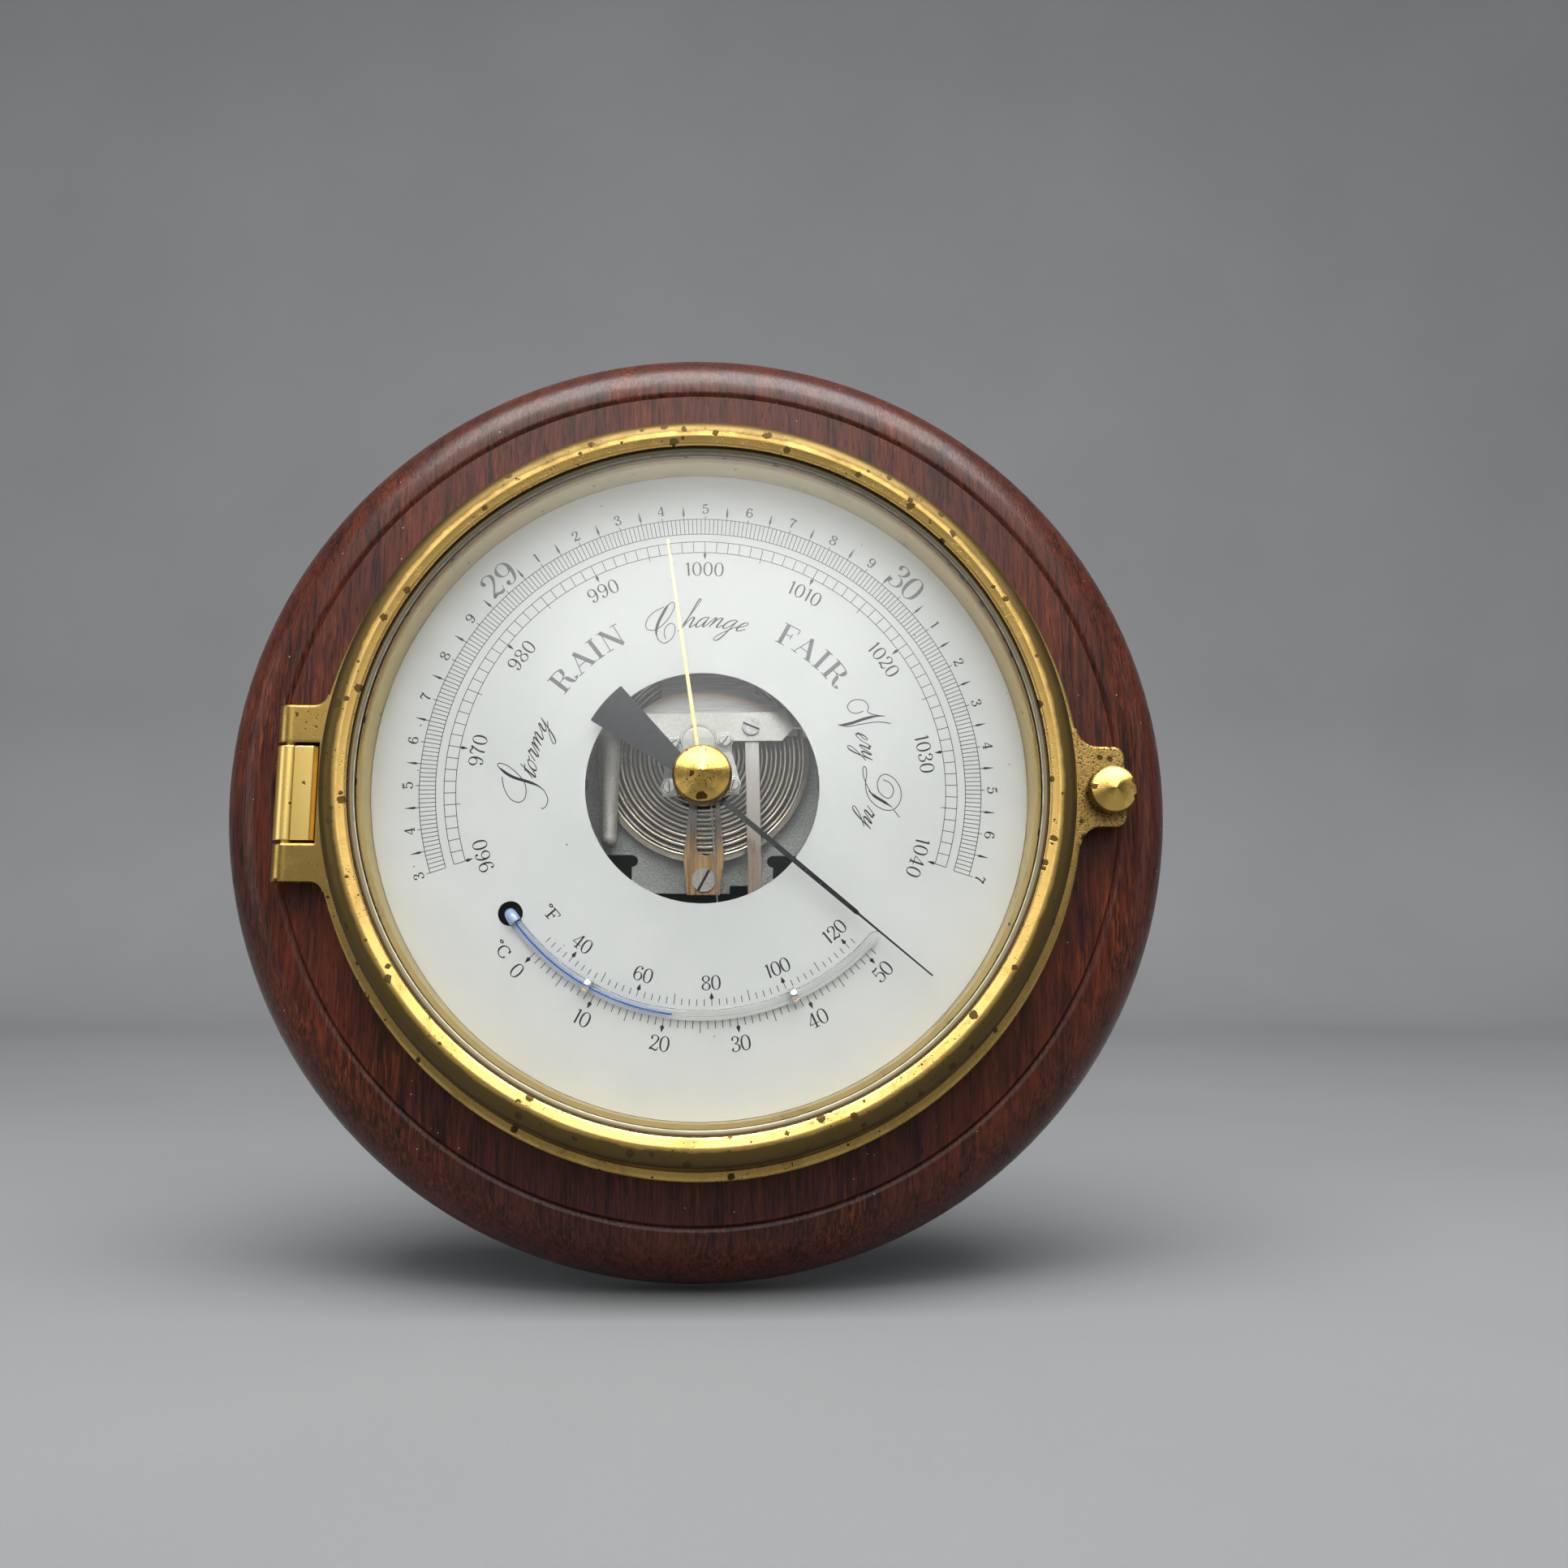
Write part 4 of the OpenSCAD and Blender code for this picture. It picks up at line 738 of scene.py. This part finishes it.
spirit, tree, shader = new_material("blue_spirit", Roughness=0.15)
feed(shader, Base_Color=blend(tree, noise(tree, 400, 2), (0.02, 0.15, 0.7), (0.03, 0.22, 0.85)))
dress(spirit, "thermometer_liquid")
bulb_glass, tree, shader = new_material("bulb_glass", Roughness=0.12, Coat_Weight=0.8)
# The bulb is painted dark navy where it lies down in the dial's hole, as painted shade, and pale blue where
# it rises to the tube.
front = between(tree, measure(tree, 1), -0.0247, -0.0262)
feed(shader, Base_Color=blend(tree, front, (0.008, 0.014, 0.035), (0.34, 0.48, 0.8)))
dress(bulb_glass, "thermometer_bulb")

tinplate, tree, shader = new_material("tinplate", Metallic=1.0)
dim = between(tree, noise(tree, 900, 3), 0.4, 0.7)
feed(shader, Base_Color=blend(tree, dim, (0.86, 0.87, 0.88), (0.6, 0.61, 0.63)),
     Roughness=between(tree, scratches(tree), 0, 1, 0.16, 0.34), Normal=bump(tree, dim, 0.02, 0.5))
CLIP_R, CLIP_FOOT = 1.5, 25.03
bm = bmesh.new()
for angle in (209, 156.3):
    along = (on_tube(angle + 0.01) - on_tube(angle)).normalized() * 0.00075
    out = spot(1, angle)
    hoop = [(CLIP_R, CLIP_FOOT), (CLIP_R, TUBE_H)]
    for turn in range(15, 180, 15):
        t = math.radians(turn)
        hoop.append((CLIP_R * math.cos(t), TUBE_H + CLIP_R * math.sin(t)))
    hoop += [(-CLIP_R, TUBE_H), (-CLIP_R, CLIP_FOOT)]
    ends = [at(out.x * (THERM_R + r), out.y * (THERM_R + r), h) - along for r, h in hoop]
    bmesh.ops.translate(bm, verts=strip(bm, ends)[1], vec=along * 2)
outward(bm)
bmesh.ops.solidify(bm, geom=bm.faces, thickness=-0.0003)
outward(bm)
corners = [edge for edge in bm.edges if edge.is_manifold and edge.calc_face_angle() > 1.2]
bmesh.ops.bevel(bm, geom=corners, offset=0.00008, offset_type="OFFSET", affect="EDGES", segments=2,
                profile=0.5, material=-1)
joined(new_object("tinplate_clips", bm, tinplate), "case", "screw_steel", "tube_clips", sharp=50)


# Movement's frame.
# A base plate stamped from galvanised sheet stands on pillars. A grey zinc casting carries the lever's
# bearings over it, and its surface shows the sand-like grain of the mould.
def grey_metal(name, light, shade, roughness, grain, relief, metal=1.0, lines=0.3, round_edge=0.15):
    """A grey metal with a mottled grain, fine scratches and softened edges."""
    material, tree, shader = new_material(name, Metallic=metal)
    grains = between(tree, noise(tree, grain, 3, 0.7), 0.35, 0.68)
    clouds = between(tree, noise(tree, grain * 0.12, 3), 0.35, 0.7)
    tone = blend(tree, grains, shade, light)
    marks = scratches(tree)
    rough = between(tree, clouds, 0, 1, roughness, roughness + 0.1)
    height = minus(tree, grains, times(tree, marks, lines))
    feed(shader, Base_Color=blend(tree, times(tree, clouds, 0.35), tone, shade),
         Roughness=plus(tree, times(tree, marks, lines * 0.4), rough),
         Normal=bump(tree, height, relief, 0.7, round_edge))
    return material


galvanised = grey_metal("galvanised", (0.92, 0.93, 0.9), (0.5, 0.505, 0.49), 0.32, 2000, 0.22, 0.2)
dress(galvanised, "base_plate")
cast_grey = grey_metal("cast_grey", (0.8, 0.76, 0.7), (0.54, 0.51, 0.47), 0.4, 2800, 0.08, 0.35)
joined(merged_copy("grey_casting", "cast_frame", cast_grey), "case", "cast_zinc", "cast_frame", sharp=35)
post_grey = grey_metal("post_grey", (0.62, 0.62, 0.61), (0.4, 0.4, 0.41), 0.36, 1800, 0.03)
dress(post_grey, "dial_posts", "crank_bracket")
dull_brass = aged_brass("dull_brass", (0.6, 0.47, 0.24), (0.34, 0.25, 0.12), 0.36, 0.15, 0.5)
dress(dull_brass, "plate_pillars", "fork_pillar", "adjusting_screw", "chain_drum", "latch_insert")


# Screws of the movement.
# Cheese-head screws of plated steel, turned and slotted, with their slots painted dark as shade. They hold
# the plates, the fork, the top bearing and the lever's strip.
screw_plate, tree, shader = new_material("screw_plate", Metallic=1.0)
dim = between(tree, noise(tree, 1500, 3), 0.38, 0.7)
feed(shader, Base_Color=blend(tree, dim, (0.6, 0.585, 0.56), (0.42, 0.4, 0.37)),
     Roughness=between(tree, dim, 0, 1, 0.3, 0.42), Normal=bump(tree, dim, 0.01, 0.4, 0.07))
# The slot faces get this near-black second material: painted shade in the slots.
painted_slot_shade, tree, shader = new_material("painted_slot_shade", Metallic=0.6, Roughness=0.6)
dark_tone = between(tree, noise(tree, 3000, 2), 0.4, 0.7)
feed(shader, Base_Color=blend(tree, dark_tone, (0.02, 0.018, 0.015), (0.1, 0.09, 0.07)))
for node in ("plate_screws", "fork_screw", "lever_screw", "bearing_screws"):
    screws = joined(merged_copy(node.replace("_", "_head_"), node, screw_plate),
                    "lever" if node == "lever_screw" else "case", "screw_steel", node, sharp=35)
    screws.data.materials.append(painted_slot_shade)
    crown = min(vert.co.y for vert in screws.data.vertices)
    for face in screws.data.polygons:
        if face.normal.y < -0.9 and face.center.y > crown + 0.0001:
            face.material_index = 1


# Aneroid capsule.
# Two discs of thin pale alloy, pressed into nine rings and soldered together at a flat rim. A turned
# stem at its centre is pinned to the leaf spring.
def turned(name, profile, centre, material, steps, closed=True):
    """A piece turned about an axis that stands out of the wall, from its profile of radii and heights."""
    bm = bmesh.new()
    line = [bm.verts.new(at(centre[0] + r, centre[1], h)) for r, h in profile]
    edges = [bm.edges.new(pair) for pair in zip(line, line[1:] + (line[:1] if closed else []))]
    bmesh.ops.spin(bm, geom=line + edges, cent=at(*centre, 0), axis=(0, 1, 0), dvec=(0, 0, 0),
                   angle=math.radians(360), steps=steps, use_merge=True)
    bmesh.ops.remove_doubles(bm, verts=bm.verts, dist=1e-7)
    outward(bm)
    return new_object(name, bm, material)


def bend(r, h, radius, start, stop, steps):
    """Points of a rounded corner in a profile."""
    angles = [math.radians(start + (stop - start) * i / steps) for i in range(steps + 1)]
    return [(r + radius * math.cos(a), h + radius * math.sin(a)) for a in angles]


CAPSULE_X, CAPSULE_Y, CAPSULE_MID = 0, 9.2, 11.5
alloy, tree, shader = new_material("capsule_alloy", Metallic=0.8)
WAVES, WAVE_START, WAVE_SPAN, WAVE_HEIGHT = 9, 4, 19.6, 0.35
# The rings' flanks and valleys are painted dark: painted shade between the lit crests of the rings.
radius = from_axis(tree, CAPSULE_Y / 1000)
swing = maths(tree, "COSINE", times(tree, minus(tree, radius, WAVE_START / 1000),
                                    2000 * math.pi * WAVES / WAVE_SPAN))
steep = between(tree, maths(tree, "ABSOLUTE", swing), 0.92, 0.45)
flank_shade = maths(tree, "MAXIMUM", steep, between(tree, swing, -0.2, -0.7, 0.0, 0.45))
valley = times(tree, flank_shade, between(tree, radius, 0.024, 0.0236))
stain = between(tree, noise(tree, 170, 3), 0.4, 0.7)
tone = blend(tree, stain, (0.86, 0.78, 0.62), (0.7, 0.62, 0.48))
tone = blend(tree, times(tree, valley, 0.92), tone, (0.06, 0.05, 0.04))
feed(shader, Base_Color=tone, Roughness=between(tree, stain, 0, 1, 0.17, 0.3),
     Normal=bump(tree, noise(tree, 2400, 2), 0.01, 0.5))
half = [(0, 1.8), (3.8, 1.8)]
for i in range(109):
    out = i / 108
    crest = WAVE_HEIGHT * math.cos(2 * math.pi * WAVES * out)
    half.append((WAVE_START + WAVE_SPAN * out, 1.55 - 0.5 * out + crest))
half += [(23.8, 0.5)] + bend(24.8, 0.2, 0.2, 90, 0, 3)
profile = [(r, CAPSULE_MID + h) for r, h in half] + [(r, CAPSULE_MID - h) for r, h in reversed(half)]
joined(turned("capsule_discs", profile, (CAPSULE_X, CAPSULE_Y), alloy, 180, closed=False), "case",
       "capsule_alloy", "capsule", sharp=60)
dress(dull_brass, "capsule_stem")


# Leaf spring.
# A strip of blued steel bent over like a hairpin, dull grey, with a curved copper-coloured band painted on
# as a highlight.
# Its free end holds the capsule's stem and keeps the two discs apart.
blued, tree, shader = new_material("blued_spring", Metallic=1.0)
brushed = between(tree, noise(tree, 1700, 3, stretch=(0.06, 1, 1)), 0.35, 0.68)
tone = blend(tree, brushed, (0.34, 0.335, 0.33), (0.56, 0.55, 0.53))
# A curved copper-coloured band along the bowed leaf: a painted highlight.
across = measure(tree, 0)
bow = plus(tree, measure(tree, 2), times(tree, across, across, 14))
line = times(tree, between(tree, bow, 0.0226, 0.0231), between(tree, bow, 0.0242, 0.0236))
tone = blend(tree, times(tree, line, 0.6), tone, (0.75, 0.44, 0.26))
feed(shader, Base_Color=tone, Roughness=between(tree, brushed, 0, 1, 0.3, 0.42),
     Normal=bump(tree, brushed, 0.02, 0.5, 0.15))
joined(merged_copy("hairpin_spring", "main_spring", blued), "case", "spring_steel", "main_spring", sharp=35)


# Fork, bridge and bearing plate.
# The fork is stamped from coppered strip, worn grey towards its top. It carries a satin bridge, and over
# that a clear moulded plate with raised rims holds the top bearing with four screws.
coppered, tree, shader = new_material("coppered_strip", Metallic=1.0)
brushed = between(tree, noise(tree, 1500, 3, stretch=(1, 1, 0.08)), 0.35, 0.68)
worn = between(tree, plus(tree, measure(tree, 2), times(tree, brushed, 0.003)), -0.011, -0.003)
copper = blend(tree, brushed, (0.42, 0.25, 0.11), (0.66, 0.42, 0.21))
feed(shader, Base_Color=blend(tree, worn, copper, (0.42, 0.4, 0.36)),
     Roughness=between(tree, brushed, 0, 1, 0.24, 0.38), Normal=bump(tree, brushed, 0.02, 0.5, 0.2))
joined(merged_copy("coppered_fork", "fork_plate", coppered), "case", "fork_copper", "fork_plate", sharp=35)
satin = grey_metal("satin_steel", (0.72, 0.71, 0.66), (0.55, 0.54, 0.5), 0.3, 1500, 0.01, 1.0, 0.2, 0.2)
dress(satin, "bearing_bridge")

clear_plastic, tree, shader = new_material("clear_plastic", Base_Color=(0.97, 0.975, 0.97), Roughness=0.03,
                                           IOR=1.46, Transmission_Weight=1.0)
feed(shader, Normal=bump(tree, noise(tree, 700, 2), 0.04, 0.4))
dress(clear_plastic, "bearing_plate")
POSTS = ((-7, 10.5), (5, 11.2), (6.8, 1), (-7.6, 0.3))
for i, (centre, radius) in enumerate([(post, 1.6) for post in POSTS] + [((-1.1, 10.6), 4.1)]):
    rim = turned(f"bearing_rim_{i + 1}", bend(radius, 22.25, 0.32, -60, 240, 9), centre, clear_plastic, 64)
    joined(rim, "case", "clear_plastic")


# Lever.
# An arm cut from satin plated sheet rocks on two pins. A bimetal strip screwed under its right end
# hangs down past the capsule and corrects the reading for warmth.
dress(satin, "lever_arm")
dress(screw_plate, "lever_pivots")
bimetal, tree, shader = new_material("bimetal", Metallic=1.0)
brushed = between(tree, noise(tree, 1800, 3, stretch=(1, 1, 0.05)), 0.35, 0.68)
tone = blend(tree, between(tree, measure(tree, 2), -0.016, 0.012), (0.46, 0.34, 0.25), (0.56, 0.55, 0.52))
tone = blend(tree, times(tree, brushed, 0.4), tone, (0.42, 0.4, 0.37))
feed(shader, Base_Color=tone, Roughness=between(tree, brushed, 0, 1, 0.25, 0.38),
     Normal=bump(tree, brushed, 0.02, 0.5, 0.2))
dress(bimetal, "lever_strip")


# Bell crank, pull wire and chain.
# The crank turns the strip's sweep into a pull on a steel wire, and a fine chain winds on the arbor's
# drum. All are bright drawn steel with a little grey film.
drawn = grey_metal("drawn_steel", (0.66, 0.66, 0.65), (0.36, 0.355, 0.35), 0.26, 2800, 0.02, 1.0, 0.3, 0.06)
dress(drawn, "bell_crank", "pull_wire", "drive_chain", "arbor")


# Indicator hand.
# Cut from thin steel and painted satin black, with a fan-shaped counterweight. Its blackened hub is
# pressed onto the arbor's top, over the dial.
black_paint, tree, shader = new_material("black_paint", Coat_Weight=0.05, Coat_Roughness=0.3,
                                         Specular_IOR_Level=0.2)
dim = between(tree, noise(tree, 900, 4), 0.35, 0.7)
tone = blend(tree, dim, (0.012, 0.012, 0.014), (0.035, 0.036, 0.04))
feed(shader, Base_Color=blend(tree, times(tree, dusty(tree, 0.12), 0.7), tone, (0.45, 0.44, 0.42)),
     Roughness=between(tree, dim, 0, 1, 0.34, 0.46), Normal=bump(tree, dim, 0.002, 0.2, 0.1))
dress(black_paint, "indicator_hand", "hand_hub")


# Hinge block, pin and latch.
# Milled from brass bar and polished, then left to dull. The block stands on the plinth, held by its two
# screws from behind, and the pin runs up through the block and the door's ears.
bar_brass = aged_brass("bar_brass", (0.98, 0.7, 0.22), (0.82, 0.55, 0.15), 0.33, 0.05, 0.7,
                       round_edge=0.4)
even_shading(joined(merged_copy("milled_block", "hinge_block", bar_brass), "case", "block_brass",
                    "hinge_block", sharp=40))
dress(bar_brass, "hinge_pin", "latch_screw")


# Door casting.
# One brass casting: the flat ring, two hinge ears and the latch's lug, turned and filed, with brown
# tarnish in the corners that a cloth doesn't reach.
cast_brass = aged_brass("cast_brass", (0.56, 0.365, 0.105), (0.36, 0.225, 0.06), 0.25, 0.22, 1.0,
                        round_edge=0.8, sand=1.0)
even_shading(joined(merged_copy("cast_door", "door_casting", cast_brass), "door", "door_brass",
                    "door_casting", sharp=35))


# Raised ring.
# Turned from brass and pressed onto the casting. Its crest is rubbed bright, its outer slope has gone
# olive and brown with pits, and its inner lip is dark.
ring_brass = aged_brass("ring_brass", (0.92, 0.6, 0.18), (0.6, 0.385, 0.11), 0.2, 0.24, 1.35,
                        relief=0.06, slope=0.0789)
profile = [(84.3, 26.5)] + bend(84.0, 27.0, 0.3, 0, 50, 3) + [(83.7, 28.7), (83.35, 30.8)]
profile += bend(78.9, 34.4, 4.05, -6, 100, 26)
profile += [(76.9, 38.05)] + bend(76.75, 37.6, 0.45, 110, 180, 4) + [(76.3, 34.1), (74.9, 34.1)]
profile += [(74.9, 33.0), (75.9, 33.0), (77.6, 30.6), (77.6, 26.5)]
joined(turned("turned_ring", profile, (0, 0), ring_brass, 240), "door", "ring_brass", "bezel_ring",
       sharp=35)


# Glass, its bead and the knob's bush.
# Clear sheet glass lies on the ring's ledge under a bead of cream putty, and a flanged brass bush is
# fixed in a hole at its centre.
window_glass, tree, shader = new_material("window_glass", Base_Color=(0.985, 1, 0.99), Roughness=0.0,
                                          IOR=1.45, Transmission_Weight=1.0)
profile = bend(76.1, 34.2, 0.1, -90, 0, 2) + bend(76.1, 36.0, 0.1, 0, 90, 2) + [(2.7, 36.1), (2.7, 34.1)]
joined(turned("window_glass", profile, (0, 0), window_glass, 192), "door", "window_glass", "glass",
       sharp=10)
putty, tree, shader = new_material("cream_putty", Roughness=0.5)
dim = between(tree, noise(tree, 420, 4), 0.35, 0.7)
radius = from_axis(tree)
tone = blend(tree, dim, (0.46, 0.46, 0.38), (0.28, 0.27, 0.2))
# Towards its outer edge, against the ring's inner lip, the putty is painted brown and then near-black:
# painted shade in the crevice.
tone = blend(tree, between(tree, radius, 0.07508, 0.0752), tone, (0.15, 0.12, 0.055))
tone = blend(tree, between(tree, radius, 0.0757, 0.0759), tone, (0.03, 0.02, 0.01))
feed(shader, Base_Color=tone, Normal=bump(tree, noise(tree, 800, 3), 0.06, 0.6))
profile = [(76.2, 36.1), (76.2, 36.8)] + bend(75.6, 36.3, 0.5, 80, 170, 5) + [(74.95, 36.1)]
joined(turned("putty_bead", profile, (0, 0), putty, 240), "door", "bead_cream", "glass_bead", sharp=60)
dress(bar_brass, "knob_bush")


# Setting knob, shaft and hand.
# The knob is turned to a low cone and finely knurled round its edge. Its shaft passes through the glass
# to a flat hand of pale gilt brass, and a washer keeps it up.
def knurled(name, centre, foot, radius, edge, cone, teeth, depth, material):
    """A coned knob with a knurled edge, raised ring by ring from a toothed circle."""
    bm = bmesh.new()
    dark_tone = bm.verts.layers.float.new("dark_tone")
    flat = Matrix.Rotation(math.pi / 2, 4, "X")
    ring = bmesh.ops.create_circle(bm, segments=teeth * 2, radius=radius / 1000,
                                   matrix=Matrix.Translation(at(*centre, foot)) @ flat)["verts"]
    middle = Matrix.Translation(-at(*centre, foot))
    rim = bm.edges[:]
    bmesh.ops.scale(bm, verts=ring[::2], vec=(1 - depth / radius,) * 3, space=middle)
    size, level = 1 - 0.3 / radius, foot
    bmesh.ops.scale(bm, verts=ring, vec=(size,) * 3, space=middle)
    bmesh.ops.contextual_create(bm, geom=rim)
    for vert in ring:
        vert[dark_tone] = 1.0
    # Each step rises, comes in to a share of the radius, and is darkened or left bright.
    for rise, to, darkened in ((0.3, 1.0, 1), (edge - 0.45, 1.0, 1), (0.15, 1 - 0.25 / radius, 1),
                            (0.05, 1 - 0.36 / radius, 1), (0.04, 1 - 0.46 / radius, 0),
                            (cone * 0.97, 0.35 / radius, 0), (cone * 0.02, 0.12 / radius, 0)):
        verts, rim = extruded(bm, rim)
        for vert in verts:
            vert[dark_tone] = darkened
        bmesh.ops.translate(bm, verts=verts, vec=at(0, 0, rise))
        level += rise
        bmesh.ops.scale(bm, verts=verts, vec=(to / size, 1, to / size),
                        space=Matrix.Translation(-at(*centre, level)))
        size = to
    bmesh.ops.contextual_create(bm, geom=rim)
    outward(bm)
    return new_object(name, bm, material)


knob_brass = aged_brass("knob_brass", (0.64, 0.42, 0.11), (0.32, 0.2, 0.055), 0.17, 0.24, 1.6,
                        round_edge=0.1, sides=0.85)
joined(knurled("cone_knob", (0, 0), 36.75, 6.45, 5, 3.9, 90, 0.16, knob_brass), "setting", "knob_brass",
       "set_knob", sharp=25)
dress(bar_brass, "set_shaft", "set_washer")
gilt = aged_brass("gilt", (0.95, 0.74, 0.34), (0.78, 0.56, 0.22), 0.24, -0.1, 0.4, round_edge=0.12)
dress(gilt, "set_hand")


# Latch.
# A knurled brass knob on a plain shank. The shank passes through the door's lug and screws into the
# insert in the wood, and so draws the door down.
joined(knurled("latch_cone", (92.6, -0.6), 26.8, 5.5, 3.5, 1.9, 74, 0.18, knob_brass), "latch_grip",
       "knob_brass", "latch_knob", sharp=25)
